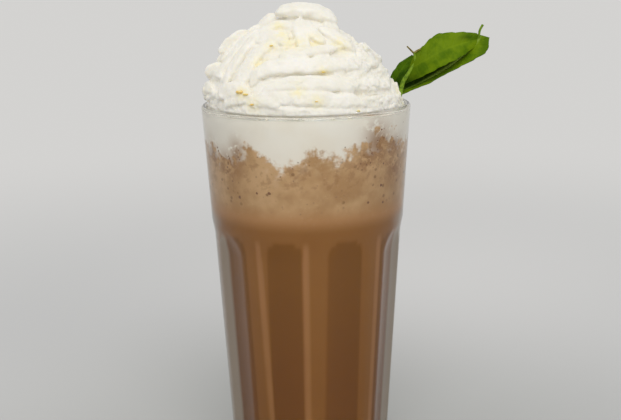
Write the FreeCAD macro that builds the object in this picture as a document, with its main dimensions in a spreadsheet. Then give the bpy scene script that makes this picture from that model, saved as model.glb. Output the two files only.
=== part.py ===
import FreeCAD, Part
import math
import os
import re

import Sketcher

# A tall fluted glass of chocolate mint frappe: drink, froth, a swirl of whipped cream and a mint sprig.
# Millimetres and degrees. The origin is the centre of the foot on the table, +Z is up, and -Y is the front.

SIZES = [
    # The glass. The wall has one taper above the shoulder and another below it.
    ("rim_diameter", 88.0),
    ("glass_height", 165.0),
    ("foot_diameter", 67.3),
    ("shoulder_height", 117.0),
    ("shoulder_diameter", 82.2),
    ("shoulder_drop_height", 6.0),
    ("shoulder_drop", 0.7),
    ("rim_wall", 2.3),
    ("shoulder_wall", 4.4),
    ("floor_wall", 4.6),
    ("floor_thickness", 12.0),
    ("floor_fillet", 6.0),
    ("lip_fillet", 1.1),
    ("foot_fillet", 3.0),
    # The flutes: round-ended hollows, spaced evenly round the outside.
    ("flute_count", 9),
    ("flute_width", 17.5),
    ("flute_depth", 1.6),
    ("flute_top", 113.5),
    ("flute_bottom", 7.0),
    ("flute_phase", 15.0),
    # The levels of the contents.
    ("drink_level", 122.0),
    ("cream_level", 151.0),
    ("seam_depth", 1.6),
    # The piped swirl of cream. Its strand is a ridged tube, coiled to a smaller radius as it climbs.
    ("strand_radius", 9.6),
    ("strand_ridges", 9),
    ("ridge_depth", 1.1),
    ("swirl_turns", 2.9),
    ("swirl_pitch", 11.6),
    ("swirl_start", 3.4),
    ("swirl_top_ring", 5.0),
    ("swirl_fullness", 1.15),
    ("swirl_offset", 3.3),
    ("rim_overhang", 1.2),
    ("lip_clearance", 0.3),
    ("cap_radius", 14.5),
    ("cap_thickness", 10.0),
    ("cap_height", 35.4),
    ("unevenness", 0.7),
    # The mint sprig. Its stem leaves the cream beside the rim, this far behind the middle of the glass.
    ("sprig_depth", 5.0),
    ("sprig_scale", 1.0),
    ("leaf_thickness", 0.6),
    ("stem_foot_diameter", 2.6),
    ("stem_tip_diameter", 0.9),
    ("stalk_diameter", 1.1),
]

# Where the froth rises into the cream or sinks below it, at the wall: azimuth from the front, change of
# height, and half width of the wave in degrees.
FROTH_WAVES = [
    (-56.0, -4.4, 15.0),
    (-34.0, 3.8, 7.0),
    (-14.0, -6.4, 9.0),
    (54.0, 11.0, 21.0),
    (105.0, -3.5, 18.0),
    (150.0, 4.0, 16.0),
    (-160.0, -3.0, 20.0),
    (-110.0, 3.5, 18.0),
]

# The mint, from the point where its stem passes over the lip: +X outwards, +Y backwards, +Z up. Each blade
# runs from the stem to its far end between a lower and an upper edge, and bends along a line between them.
STEM_LINE = [
    (-5.0, 0.0, -3.0),
    (-2.4, 0.0, 1.0),
    (-1.3, 1.0, 4.2),
    (-0.2, 1.5, 7.8),
    (2.1, 1.5, 11.5),
    (4.5, 2.0, 15.8),
    (4.2, 2.0, 20.0),
]
BLADES = {
    "back": {
        "lower": [
            (-1.6, 1.6, 1.9),
            (8.6, 2.0, 5.8),
            (21.4, 1.2, 12.6),
            (34.3, 2.0, 19.3),
            (36.6, 5.0, 25.4),
        ],
        "bend": [
            (-1.4, 2.2, 2.6),
            (8.3, 5.0, 6.8),
            (20.5, 5.0, 13.6),
            (30.2, 5.0, 22.4),
            (33.3, 5.6, 26.4),
        ],
        "upper": [
            (-1.2, 2.8, 3.3),
            (6.0, 7.0, 12.0),
            (14.0, 8.0, 20.0),
            (22.0, 7.2, 25.0),
            (30.0, 6.2, 27.4),
        ],
    },
    "front": {
        "lower": [
            (-0.6, 1.6, 6.1),
            (7.7, -0.3, 9.9),
            (16.4, -0.8, 14.3),
            (24.0, 0.8, 17.8),
            (31.2, 5.2, 22.2),
        ],
        "bend": [
            (1.9, 1.9, 12.7),
            (9.0, 0.6, 16.6),
            (16.6, 1.4, 20.6),
            (24.0, 3.4, 23.0),
            (31.2, 5.3, 24.8),
        ],
        "upper": [
            (4.4, 2.2, 19.3),
            (7.9, 4.0, 22.0),
            (14.0, 5.3, 27.0),
            (23.4, 5.8, 27.9),
            (31.2, 5.4, 27.4),
        ],
    },
    "side": {
        "lower": [
            (-3.3, 3.6, 4.0),
            (-6.6, 6.0, 5.8),
            (-4.4, 7.0, 10.5),
            (-1.2, 6.6, 15.2),
            (3.6, 3.4, 18.6),
        ],
        "bend": [
            (-2.6, 2.4, 4.2),
            (-3.6, 4.0, 7.0),
            (-1.6, 4.6, 11.0),
            (1.2, 4.4, 15.0),
            (4.0, 2.8, 18.4),
        ],
        "upper": [
            (-1.9, 1.2, 4.4),
            (-0.8, 2.0, 7.8),
            (1.6, 2.2, 11.6),
            (3.6, 2.4, 15.2),
            (4.4, 2.2, 18.2),
        ],
    },
}
STALK_LINE = [(32.2, 5.5, 25.2), (32.4, 5.3, 28.4), (33.6, 5.0, 31.2)]

SHEET = "Sizes"

# How close two lengths must be to count as the same one, and two volumes as a share of each other.
SAME_LENGTH = 1e-4
SAME_VOLUME = 0.02

# How far the blocks that part the contents reach beyond them, sideways and down, and the steps along each
# side of the wavy one.
BLOCK_MARGIN = 2.0
BLOCK_DEPTH = 20.0
WAVE_STEPS = 44

# The cream's surface: points round each ring, rings from the seam to the top, and the last ring's radius.
SWIRL_COLUMNS = 64
SWIRL_ROWS = 48
SWIRL_TOP_RADIUS = 1.5
# The turns over which the strand's end tapers off, the turns before its start from which its rings begin to
# lean to the side, and how much of that lean the cap shares.
STRAND_TAPER = 0.35
LEAN_START = 0.5
CAP_LEAN = 0.4
# The uneven swells on the cream: waves round it, where they start, and waves from the seam up.
SWELLS = [(3.0, 1.1, 4.0), (5.0, 2.3, 7.0)]

# Points along and round a stem, points along a blade, and points from a blade's bend to either edge.
STEM_ROWS = 14
STEM_SIDES = 8
BLADE_ROWS = 20
HALF_BLADE_COLUMNS = 5


def make_sheet(doc):
    sheet = doc.addObject("Spreadsheet::Sheet", SHEET)
    for row, (name, value) in enumerate(SIZES, start=1):
        sheet.set(f"A{row}", name)
        sheet.set(f"B{row}", str(value))
        sheet.setAlias(f"B{row}", name)
    doc.recompute()
    return sheet


def sized(formula):
    """The formula with each size's name turned into its cell on the sheet."""
    names = {name for name, _ in SIZES}

    def cell(found):
        word = found.group(0)
        return f"{SHEET}.{word}" if word in names else word

    return re.sub(r"[a-z_]+", cell, formula)


# Formulas for the wall, which the glass and its contents share.
RIM_OUTER = "rim_diameter / 2"
RIM_INNER = "( rim_diameter / 2 - rim_wall )"
SHOULDER_OUTER = "shoulder_diameter / 2"
LOWER_HEIGHT = "( shoulder_height - shoulder_drop_height )"
UPPER_SLOPE = "( ( rim_diameter - shoulder_diameter ) / 2 / ( glass_height - shoulder_height ) )"
LOWER_OUTER = f"( shoulder_diameter / 2 - shoulder_drop - shoulder_drop_height * {UPPER_SLOPE} )"
INNER_SHOULDER = f"( {LOWER_OUTER} - shoulder_wall )"
INNER_FLOOR = (
    f"( foot_diameter / 2 + floor_thickness * ( {LOWER_OUTER} - foot_diameter / 2 ) / {LOWER_HEIGHT}"
    " - floor_wall )"
)
INNER_SLOPE = f"( ( {RIM_INNER} - {INNER_SHOULDER} ) / ( glass_height - {LOWER_HEIGHT} ) )"
SEAM_HEIGHT = "( glass_height - seam_depth )"


def inner_radius_at(height):
    """The inner radius of the glass at a height above the shoulder, as a formula."""
    return f"{INNER_SHOULDER} + ( {height} - {LOWER_HEIGHT} ) * {INNER_SLOPE}"


def origin_plane(body, role):
    return next(item for item in body.Origin.OriginFeatures if item.Role == role)


def new_sketch(body, name):
    sketch = body.newObject("Sketcher::SketchObject", name)
    sketch.AttachmentSupport = (origin_plane(body, "XZ_Plane"), [""])
    sketch.MapMode = "FlatFace"
    return sketch


def bind(sketch, constraint, formula):
    index = sketch.addConstraint(constraint)
    sketch.setExpression(f"Constraints[{index}]", sized(formula))


def closed_outline(sketch, corners):
    """A closed outline of straight lines. Each corner is a formula for its radius and one for its height."""
    values = []
    for radius, height in corners:
        values.append(FreeCAD.Vector(value_of(radius), value_of(height), 0))
    count = len(values)
    for start in range(count):
        sketch.addGeometry(Part.LineSegment(values[start], values[(start + 1) % count]), False)
    for line in range(count):
        sketch.addConstraint(Sketcher.Constraint("Coincident", line, 2, (line + 1) % count, 1))
    for line, (radius, height) in enumerate(corners):
        for kind, formula, axis in (("DistanceX", radius, -2), ("DistanceY", height, -1)):
            if formula == "0":
                sketch.addConstraint(Sketcher.Constraint("PointOnObject", line, 1, axis))
            else:
                constraint = Sketcher.Constraint(kind, -1, 1, line, 1, value_of(formula))
                bind(sketch, constraint, formula)


def value_of(formula):
    """The number that a formula gives with the sheet's present values."""
    result = DOC.getObject(SHEET).evalExpression(sized(formula))
    return float(getattr(result, "Value", result))


def revolve(body, sketch, name):
    turned = body.newObject("PartDesign::Revolution", name)
    turned.Profile = sketch
    turned.ReferenceAxis = (sketch, ["V_Axis"])
    turned.Angle = 360.0
    return turned


def circle_edges(shape, radius, height):
    """The names of the round edges about the Z axis with this radius and height."""
    found = []
    for number, edge in enumerate(shape.Edges, start=1):
        curve = edge.Curve
        if not isinstance(curve, Part.Circle):
            continue
        offsets = (
            math.hypot(curve.Center.x, curve.Center.y),
            abs(curve.Radius - radius),
            abs(curve.Center.z - height),
        )
        if max(offsets) < SAME_LENGTH:
            found.append(f"Edge{number}")
    return found


def fillet(body, name, base, edges, size):
    rounded = body.newObject("PartDesign::Fillet", name)
    rounded.Base = (base, edges)
    rounded.setExpression("Radius", sized(size))
    DOC.recompute()
    return rounded


def make_glass(doc):
    body = doc.addObject("PartDesign::Body", "glass")
    body.Label = "glass"
    wall = new_sketch(body, "wall_outline")
    closed_outline(
        wall,
        [
            ("0", "0"),
            ("foot_diameter / 2", "0"),
            (LOWER_OUTER, LOWER_HEIGHT),
            (SHOULDER_OUTER, "shoulder_height"),
            (RIM_OUTER, "glass_height"),
            (RIM_INNER, "glass_height"),
            (INNER_SHOULDER, LOWER_HEIGHT),
            (INNER_FLOOR, "floor_thickness"),
            ("0", "floor_thickness"),
        ],
    )
    turned = revolve(body, wall, "wall")
    doc.recompute()

    rim_edges = circle_edges(turned.Shape, value_of(RIM_OUTER), value_of("glass_height"))
    rim_edges += circle_edges(turned.Shape, value_of(RIM_INNER), value_of("glass_height"))
    lip = fillet(body, "lip", turned, rim_edges, "lip_fillet")
    floor_edges = circle_edges(lip.Shape, value_of(INNER_FLOOR), value_of("floor_thickness"))
    floor = fillet(body, "floor_corner", lip, floor_edges, "floor_fillet")
    foot_edges = circle_edges(floor.Shape, value_of("foot_diameter / 2"), 0.0)
    fillet(body, "foot_corner", floor, foot_edges, "foot_fillet")

    cut_flutes(doc, body)
    body.Placement.Rotation = FreeCAD.Rotation(FreeCAD.Vector(0, 0, 1), 1.0)
    body.setExpression("Placement.Rotation.Angle", sized("flute_phase * 1deg"))
    return body


def cut_flutes(doc, body):
    """Cuts one flute by turning a profile about an axis beside the wall, and repeats it round the glass.

    The profile's upright lies flute_depth inside the wall. Its ends are quarter arcs that leave the wall half
    a flute's width beyond the upright, so the flute's outline is a straight channel with round ends.
    """
    tilt = f"atan( ( {LOWER_OUTER} - foot_diameter / 2 ) / {LOWER_HEIGHT} )"
    arch = "( flute_width * flute_width / 8 / flute_depth )"
    cutter = f"( 1 / ( 1 / {arch} - 1 / {LOWER_OUTER} ) )"
    upright_end = f"( flute_top / cos( {tilt} ) - flute_width / 2 )"
    upright_start = f"( flute_bottom / cos( {tilt} ) + flute_width / 2 )"

    profile = new_sketch(body, "flute_profile")
    profile.AttachmentOffset = FreeCAD.Placement(
        FreeCAD.Vector(value_of("foot_diameter / 2"), 0, 0),
        FreeCAD.Rotation(FreeCAD.Vector(0, 0, 1), -value_of(tilt)),
    )
    profile.setExpression("AttachmentOffset.Base.x", sized("foot_diameter / 2"))
    profile.setExpression("AttachmentOffset.Rotation.Angle", sized(f"-1 * {tilt}"))

    depth = value_of("flute_depth")
    low, high = value_of(upright_start), value_of(upright_end)
    radius, far = value_of(arch), value_of(cutter) - depth
    end = radius - depth

    def point(across, along):
        return FreeCAD.Vector(across, along, 0)

    def quarter(centre_along, first, second):
        circle = Part.Circle(point(end, centre_along), FreeCAD.Vector(0, 0, 1), radius)
        return Part.ArcOfCircle(circle, first, second)

    upright, top_arc, top_line, axis, bottom_line, bottom_arc = range(6)
    profile.addGeometry(
        [
            Part.LineSegment(point(-depth, low), point(-depth, high)),
            quarter(high, math.pi / 2, math.pi),
            Part.LineSegment(point(end, high + radius), point(far, high + radius)),
            Part.LineSegment(point(far, high + radius), point(far, low - radius)),
            Part.LineSegment(point(far, low - radius), point(end, low - radius)),
            quarter(low, math.pi, 3 * math.pi / 2),
        ],
        False,
    )
    start_of, end_of = 1, 2
    joints = [
        ("Tangent", upright, end_of, top_arc, end_of),
        ("Tangent", top_arc, start_of, top_line, start_of),
        ("Coincident", top_line, end_of, axis, start_of),
        ("Coincident", axis, end_of, bottom_line, start_of),
        ("Tangent", bottom_line, end_of, bottom_arc, end_of),
        ("Tangent", bottom_arc, start_of, upright, start_of),
        ("Vertical", upright),
        ("Vertical", axis),
        ("Horizontal", top_line),
        ("Horizontal", bottom_line),
    ]
    for joint in joints:
        profile.addConstraint(Sketcher.Constraint(*joint))
    constraint = Sketcher.Constraint
    bind(profile, constraint("DistanceX", upright, start_of, -1, 1, depth), "flute_depth")
    bind(profile, constraint("DistanceY", -1, 1, upright, start_of, low), upright_start)
    bind(profile, constraint("DistanceY", -1, 1, upright, end_of, high), upright_end)
    bind(profile, constraint("Radius", top_arc, radius), arch)
    bind(profile, constraint("Radius", bottom_arc, radius), arch)
    bind(profile, constraint("DistanceX", -1, 1, axis, start_of, far), f"{cutter} - flute_depth")
    doc.recompute()

    before = body.Shape.Volume
    flute = body.newObject("PartDesign::Groove", "flute")
    flute.Profile = profile
    flute.ReferenceAxis = (profile, [f"Edge{axis + 1}"])
    flute.Angle = 360.0
    doc.recompute()
    one_cut = before - body.Shape.Volume
    ring = body.newObject("PartDesign::PolarPattern", "flutes")
    ring.Originals = [flute]
    ring.Axis = (origin_plane(body, "Z_Axis"), [""])
    ring.Angle = 360.0
    ring.setExpression("Occurrences", sized("flute_count"))
    body.Tip = ring
    doc.recompute()
    all_cuts = before - body.Shape.Volume
    if one_cut <= 0 or abs(all_cuts - one_cut * value_of("flute_count")) > SAME_VOLUME * all_cuts:
        raise SystemExit(f"the flutes cut {all_cuts:.0f} mm3, and one cuts {one_cut:.0f} mm3")


def make_inside(doc):
    """All that fills the glass up to the seam: the drink, the froth and the foot of the cream together."""
    body = doc.addObject("PartDesign::Body", "inside")
    outline = new_sketch(body, "inside_outline")
    closed_outline(
        outline,
        [
            ("0", "floor_thickness"),
            (INNER_FLOOR, "floor_thickness"),
            (INNER_SHOULDER, LOWER_HEIGHT),
            (inner_radius_at(SEAM_HEIGHT), SEAM_HEIGHT),
            ("0", SEAM_HEIGHT),
        ],
    )
    turned = revolve(body, outline, "inside_turned")
    doc.recompute()
    edges = circle_edges(turned.Shape, value_of(INNER_FLOOR), value_of("floor_thickness"))
    fillet(body, "inside_corner", turned, edges, "floor_fillet")
    return body


def make_drink_block(doc):
    """A round block up to the drink's level. What it holds of the inside is drink."""
    block = doc.addObject("Part::Cylinder", "drink_block")
    block.setExpression("Radius", sized(f"{RIM_INNER} + {BLOCK_MARGIN}"))
    block.setExpression("Height", sized("drink_level"))
    doc.recompute()
    return block


def boolean(doc, kind, name, base, tool):
    """The part of one shape that lies in another (Common) or outside it (Cut)."""
    result = doc.addObject(f"Part::{kind}", name)
    result.Base = base
    result.Tool = tool
    result.Label = name
    return result


def smooth_surface(poles, closed):
    """A cubic surface that follows a grid of poles. Its rows are loops where closed is true."""
    degree = 3

    def spans(count):
        inner = count - degree - 1
        return [degree + 1] + [1] * inner + [degree + 1], list(range(inner + 2))

    row_mults, row_knots = spans(len(poles))
    if closed:
        column_knots = list(range(len(poles[0]) + 1))
        column_mults = [1] * len(column_knots)
    else:
        column_mults, column_knots = spans(len(poles[0]))
    surface = Part.BSplineSurface()
    surface.buildFromPolesMultsKnots(
        poles, row_mults, column_mults, row_knots, column_knots, False, closed, degree, degree
    )
    return surface


def closed_solid(rings):
    """A solid whose side follows rings of poles, with a flat face at its first and at its last ring."""
    side = smooth_surface(rings, True).toShape()
    ends = [Part.Face(Part.Wire(edge)) for edge in side.Edges if edge.isClosed()]
    shell = Part.makeShell([side] + ends)
    shell.sewShape()
    solid = Part.makeSolid(shell)
    if solid.Volume < 0:
        solid.reverse()
    return solid


def angle_between(first, second):
    """The smallest angle between two directions, in degrees."""
    return abs((first - second + 180.0) % 360.0 - 180.0)


def froth_height(across, along):
    """The height of the boundary between froth and cream. Its waves are full at the wall and fade inwards."""
    azimuth = math.degrees(math.atan2(across, -along))
    nearness = math.hypot(across, along) / value_of(RIM_INNER)
    height = value_of("cream_level")
    for middle, change, half_width in FROTH_WAVES:
        ratio = angle_between(azimuth, middle) / half_width
        height += change * min(nearness, 1.0) ** 2 * math.exp(-0.5 * ratio**2)
    return height


def make_froth_block(doc):
    """A block whose top is the wavy boundary. What it holds above the drink is froth. The rest is cream."""
    half_side = value_of(RIM_INNER) + BLOCK_MARGIN
    points = []
    for row in range(WAVE_STEPS + 1):
        across = half_side * (2.0 * row / WAVE_STEPS - 1.0)
        line = []
        for column in range(WAVE_STEPS + 1):
            along = half_side * (2.0 * column / WAVE_STEPS - 1.0)
            line.append(FreeCAD.Vector(across, along, froth_height(across, along)))
        points.append(line)
    surface = smooth_surface(points, False)
    drop = value_of("cream_level - drink_level") + BLOCK_DEPTH
    block = doc.addObject("Part::Feature", "froth_block")
    block.Shape = surface.toShape().extrude(FreeCAD.Vector(0, 0, -drop))
    return block


class Swirl:
    """The shape of the piped cream above the seam, as a distance from its centre in each direction."""

    def __init__(self):
        self.base = value_of(SEAM_HEIGHT)
        self.base_radius = value_of(inner_radius_at(SEAM_HEIGHT)) - value_of("lip_clearance")
        self.lip_top = value_of("glass_height + lip_clearance") - self.base
        self.strand = value_of("strand_radius")
        self.turns = value_of("swirl_turns")
        self.pitch = value_of("swirl_pitch")
        self.start = value_of("swirl_start")
        self.first_ring = value_of(f"{RIM_INNER} + rim_overhang - strand_radius")
        self.last_ring = value_of("swirl_top_ring")
        self.fullness = value_of("swirl_fullness")
        self.offset = value_of("swirl_offset")
        self.cap_radius = value_of("cap_radius")
        self.cap_half = value_of("cap_thickness / 2")
        self.cap_height = value_of("cap_height")
        self.ridges = int(value_of("strand_ridges"))
        self.ridge_depth = value_of("ridge_depth")
        self.unevenness = value_of("unevenness")

    def strand_reach(self, climb, azimuth, elevation):
        """How far the strand reaches along a ray where it has climbed this many turns. It is 0 for a miss."""
        narrowing = (max(climb, 0.0) / self.turns) ** self.fullness
        ring = self.first_ring + (self.last_ring - self.first_ring) * narrowing
        ring -= self.offset * min(1.0, max(0.0, climb + LEAN_START)) * math.sin(azimuth)
        height = self.start + self.pitch * climb
        along = ring * math.cos(elevation) + height * math.sin(elevation)
        missed_by = abs(height * math.cos(elevation) - ring * math.sin(elevation))
        fade = min(1.0, max(0.0, (self.turns - climb) / STRAND_TAPER))
        size = self.strand * math.sqrt(fade)
        if missed_by >= size:
            return 0.0
        reach = along + math.sqrt(size**2 - missed_by**2)
        round_strand = math.atan2(
            reach * math.sin(elevation) - height,
            reach * math.cos(elevation) - ring,
        )
        return reach + self.ridge_depth * fade * math.cos(self.ridges * round_strand)

    def cap_reach(self, azimuth, elevation):
        """How far the flattened cap at the top reaches along a ray. It is 0 for a miss."""
        ray = (
            math.cos(elevation) * math.sin(azimuth) / self.cap_radius,
            -math.cos(elevation) * math.cos(azimuth) / self.cap_radius,
            math.sin(elevation) / self.cap_half,
        )
        centre = (-CAP_LEAN * self.offset / self.cap_radius, 0.0, self.cap_height / self.cap_half)
        ray_squared = sum(part * part for part in ray)
        along = sum(a * b for a, b in zip(ray, centre))
        inside = along**2 - ray_squared * (sum(part * part for part in centre) - 1.0)
        if inside <= 0.0:
            return 0.0
        return (along + math.sqrt(inside)) / ray_squared

    def core_reach(self, elevation):
        """A cone inside the coil, which closes it between the turns."""
        foot = self.first_ring
        top = self.cap_height
        return foot * top / (foot * math.sin(elevation) + top * math.cos(elevation))

    def reach(self, azimuth, elevation):
        found = [self.core_reach(elevation), self.cap_reach(azimuth, elevation)]
        part_turn = azimuth / (2.0 * math.pi)
        for turn in range(-1, int(self.turns) + 1):
            climb = turn + part_turn
            if climb < self.turns:
                found.append(self.strand_reach(climb, azimuth, elevation))
        wobble = 0.0
        for waves_round, start, waves_up in SWELLS:
            wobble += math.sin(waves_round * azimuth + start) * math.sin(waves_up * elevation)
        distance = max(found) + self.unevenness * wobble / len(SWELLS)
        if distance * math.sin(elevation) < self.lip_top:
            distance = min(distance, self.base_radius / math.cos(elevation))
        return distance

    def point(self, azimuth, elevation):
        distance = self.reach(azimuth, elevation)
        across = distance * math.cos(elevation)
        return FreeCAD.Vector(
            across * math.sin(azimuth),
            -across * math.cos(azimuth),
            self.base + distance * math.sin(elevation),
        )


def make_swirl(doc):
    """The cream above the seam: a smooth surface over rings of points, closed by a flat disc at each end."""
    swirl = Swirl()
    azimuths = [2.0 * math.pi * column / SWIRL_COLUMNS for column in range(SWIRL_COLUMNS)]
    grid = []
    for row in range(SWIRL_ROWS):
        elevation = math.pi / 2 * row / SWIRL_ROWS
        ring = []
        for azimuth in azimuths:
            if row == 0:
                ring.append(around(azimuth, swirl.base_radius, swirl.base))
            else:
                ring.append(swirl.point(azimuth, elevation))
        grid.append(ring)
    peak = max(point.z for point in grid[-1])
    grid[-1] = [around(azimuth, SWIRL_TOP_RADIUS, peak) for azimuth in azimuths]
    feature = doc.addObject("Part::Feature", "swirl")
    feature.Shape = closed_solid(grid)
    return feature


def around(azimuth, radius, height):
    """A point at an azimuth from the front, measured towards +X."""
    return FreeCAD.Vector(radius * math.sin(azimuth), -radius * math.cos(azimuth), height)


def spread_points(points, count):
    """Points at even steps along a smooth line through the given ones, placed where the sprig stands."""
    line = Part.BSplineCurve()
    line.interpolate([sprig_point(point) for point in points])
    first, last = line.FirstParameter, line.LastParameter
    return [line.value(first + (last - first) * step / (count - 1)) for step in range(count)]


def sprig_point(point):
    """A point of the sprig in the part's frame. The stem passes over the inner edge of the lip."""
    depth = value_of("sprig_depth")
    inner = value_of(RIM_INNER)
    across = math.sqrt(inner**2 - depth**2) + 0.5 * value_of("rim_wall - stem_foot_diameter / 2")
    start = FreeCAD.Vector(across, depth, value_of("glass_height"))
    return start + FreeCAD.Vector(*point) * value_of("sprig_scale")


def tube(points, first_radius, last_radius):
    """A round stem along a line of points, thicker at its first end than at its last."""
    middles = spread_points(points, STEM_ROWS)
    across = FreeCAD.Vector(0, 1, 0)
    grid = []
    for row, middle in enumerate(middles):
        run = middles[min(row + 1, STEM_ROWS - 1)] - middles[max(row - 1, 0)]
        outward = run.cross(across).normalize()
        radius = first_radius + (last_radius - first_radius) * row / (STEM_ROWS - 1)
        ring = []
        for side in range(STEM_SIDES):
            angle = 2.0 * math.pi * side / STEM_SIDES
            ring.append(middle + (outward * math.cos(angle) + across * math.sin(angle)) * radius)
        grid.append(ring)
    return closed_solid(grid)


def blade(edges):
    """A leaf's blade: a thin sheet that bends along a line between its lower and its upper edge."""
    lower = spread_points(edges["lower"], BLADE_ROWS)
    bend = spread_points(edges["bend"], BLADE_ROWS)
    upper = spread_points(edges["upper"], BLADE_ROWS)
    for end in (0, -1):
        bend[end] = (lower[end] + upper[end]) * 0.5
    half_thickness = value_of("leaf_thickness / 2")
    grid = []
    for row in range(BLADE_ROWS):
        run = bend[min(row + 1, BLADE_ROWS - 1)] - bend[max(row - 1, 0)]
        line = []
        for column in range(HALF_BLADE_COLUMNS):
            line.append(lower[row] + (bend[row] - lower[row]) * (column / HALF_BLADE_COLUMNS))
        for column in range(HALF_BLADE_COLUMNS + 1):
            line.append(bend[row] + (upper[row] - bend[row]) * (column / HALF_BLADE_COLUMNS))
        grid.append(sheet_ring(line, run, half_thickness))
    return closed_solid(grid)


def sheet_ring(line, run, half_thickness):
    """A loop round a line of points: along its front, then back along its rear."""
    front, rear = [], []
    for number, point in enumerate(line):
        across = line[min(number + 1, len(line) - 1)] - line[max(number - 1, 0)]
        outward = across.cross(run).normalize() * half_thickness
        front.append(point - outward)
        rear.append(point + outward)
    return front + rear[::-1]


def make_mint(doc):
    stem = doc.addObject("Part::Feature", "stem")
    stem.Shape = tube(STEM_LINE, value_of("stem_foot_diameter / 2"), value_of("stem_tip_diameter / 2"))
    stem.Label = "mint_stem"
    stalk_radius = value_of("stalk_diameter / 2")
    parts = {name: blade(edges) for name, edges in BLADES.items()}
    parts["stalk"] = tube(STALK_LINE, stalk_radius, stalk_radius)
    pieces = {}
    for name, shape in parts.items():
        pieces[name] = doc.addObject("Part::Feature", f"{name}_piece")
        pieces[name].Shape = shape

    large = doc.addObject("Part::MultiFuse", "large_leaf_blank")
    large.Shapes = [pieces["back"], pieces["front"], pieces["stalk"]]
    large_leaf = boolean(doc, "Cut", "mint_leaf_large", large, stem)
    small_leaf = boolean(doc, "Cut", "mint_leaf_small", pieces["side"], stem)
    return [stem, large_leaf, small_leaf]


def check(objects):
    """Stops with a message if anything in the document failed."""
    for item in DOC.Objects:
        if "Invalid" in item.State or "Error" in item.State:
            raise SystemExit(f"{item.Name} failed: {item.State}")
    for item in objects:
        if item.Shape.isNull() or not item.Shape.isValid() or len(item.Shape.Solids) != 1:
            raise SystemExit(f"{item.Label} is not one valid solid")


DOC = FreeCAD.newDocument("frappe")
make_sheet(DOC)
glass = make_glass(DOC)
inside = make_inside(DOC)
drink_block = make_drink_block(DOC)
froth_block = make_froth_block(DOC)
drink = boolean(DOC, "Common", "drink", inside, drink_block)
above_drink = boolean(DOC, "Cut", "above_drink", inside, drink_block)
froth = boolean(DOC, "Common", "froth", above_drink, froth_block)
cream_foot = boolean(DOC, "Cut", "cream_foot", above_drink, froth_block)

cream_whole = DOC.addObject("Part::MultiFuse", "cream_whole")
cream_whole.Shapes = [cream_foot, make_swirl(DOC)]
mint = make_mint(DOC)
mint_whole = DOC.addObject("Part::MultiFuse", "mint_whole")
mint_whole.Shapes = mint
cream = boolean(DOC, "Cut", "whipped_cream", cream_whole, mint_whole)
DOC.recompute()

nodes = [glass, drink, froth, cream] + mint
check(nodes)
os.makedirs("parts", exist_ok=True)
for item in nodes:
    item.Shape.exportStep(f"parts/{item.Label}.step")
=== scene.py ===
import math
import random
from functools import reduce

import bmesh
import bpy
from mathutils import Euler, Matrix, Vector, noise
from mathutils.bvhtree import BVHTree


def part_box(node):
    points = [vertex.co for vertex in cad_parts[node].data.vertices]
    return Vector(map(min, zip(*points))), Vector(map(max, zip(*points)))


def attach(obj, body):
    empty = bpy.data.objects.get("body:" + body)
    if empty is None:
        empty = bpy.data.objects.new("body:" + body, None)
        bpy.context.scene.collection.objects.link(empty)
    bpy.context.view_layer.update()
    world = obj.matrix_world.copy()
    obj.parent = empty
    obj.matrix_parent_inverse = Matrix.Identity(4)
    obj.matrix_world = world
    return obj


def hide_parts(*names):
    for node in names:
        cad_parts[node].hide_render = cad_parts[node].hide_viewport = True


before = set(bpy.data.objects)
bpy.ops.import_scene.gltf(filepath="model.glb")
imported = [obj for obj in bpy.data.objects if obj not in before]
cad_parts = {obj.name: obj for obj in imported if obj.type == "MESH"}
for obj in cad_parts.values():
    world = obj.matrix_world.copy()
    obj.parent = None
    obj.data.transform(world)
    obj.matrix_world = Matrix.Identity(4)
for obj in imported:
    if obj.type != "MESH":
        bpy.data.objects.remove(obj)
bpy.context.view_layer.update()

# A chocolate mint frappe in its fluted glass. Sizes are in millimetres unless they say otherwise, and
# meshes are in metres in the part's frame: the foot's centre at the origin, +Z up, -Y in front.

MM = 0.001
BODY = "root"


def height_of(node, end):
    """The lowest (0) or highest (1) level of a node, in millimetres."""
    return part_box(node)[end][2] / MM


# ---- sizes ----

GLASS_HEIGHT = height_of("glass", 1)
FLOOR_THICKNESS = height_of("drink", 0)
DRINK_LEVEL = height_of("drink", 1)
RIM_RADIUS = 44.0
FOOT_RADIUS = 33.65
SHOULDER_HEIGHT = 117.0
SHOULDER_RADIUS = 41.1
SHOULDER_DROP_HEIGHT = 6.0
SHOULDER_DROP = 0.7
RIM_WALL = 2.3
SHOULDER_WALL = 4.4
FLOOR_WALL = 4.6
FLOOR_FILLET = 6.0
LIP_FILLET = 1.1
FOOT_FILLET = 3.0
FOOT_HOLLOW = 1.2
SEAM_DEPTH = 1.6
LIP_CLEARANCE = 0.3

FLUTE_COUNT = 9
FLUTE_WIDTH = 17.5
FLUTE_DEPTH = 1.6
FLUTE_TOP = 113.5
FLUTE_BOTTOM = 7.0
FLUTE_AZIMUTH = 25.0
FLUTE_SOFTNESS = 0.45

LOWER_HEIGHT = SHOULDER_HEIGHT - SHOULDER_DROP_HEIGHT
UPPER_SLOPE = (RIM_RADIUS - SHOULDER_RADIUS) / (GLASS_HEIGHT - SHOULDER_HEIGHT)
LOWER_RADIUS = SHOULDER_RADIUS - SHOULDER_DROP - SHOULDER_DROP_HEIGHT * UPPER_SLOPE
LOWER_SLOPE = (LOWER_RADIUS - FOOT_RADIUS) / LOWER_HEIGHT
INNER_RIM = RIM_RADIUS - RIM_WALL
INNER_SHOULDER = LOWER_RADIUS - SHOULDER_WALL
INNER_FLOOR = FOOT_RADIUS + FLOOR_THICKNESS * LOWER_SLOPE - FLOOR_WALL
SEAM_HEIGHT = GLASS_HEIGHT - SEAM_DEPTH

# How far what fills the glass reaches into its wall, so that no air shows between them.
FILL_REACH = 0.12


# ---- small helpers ----


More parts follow.
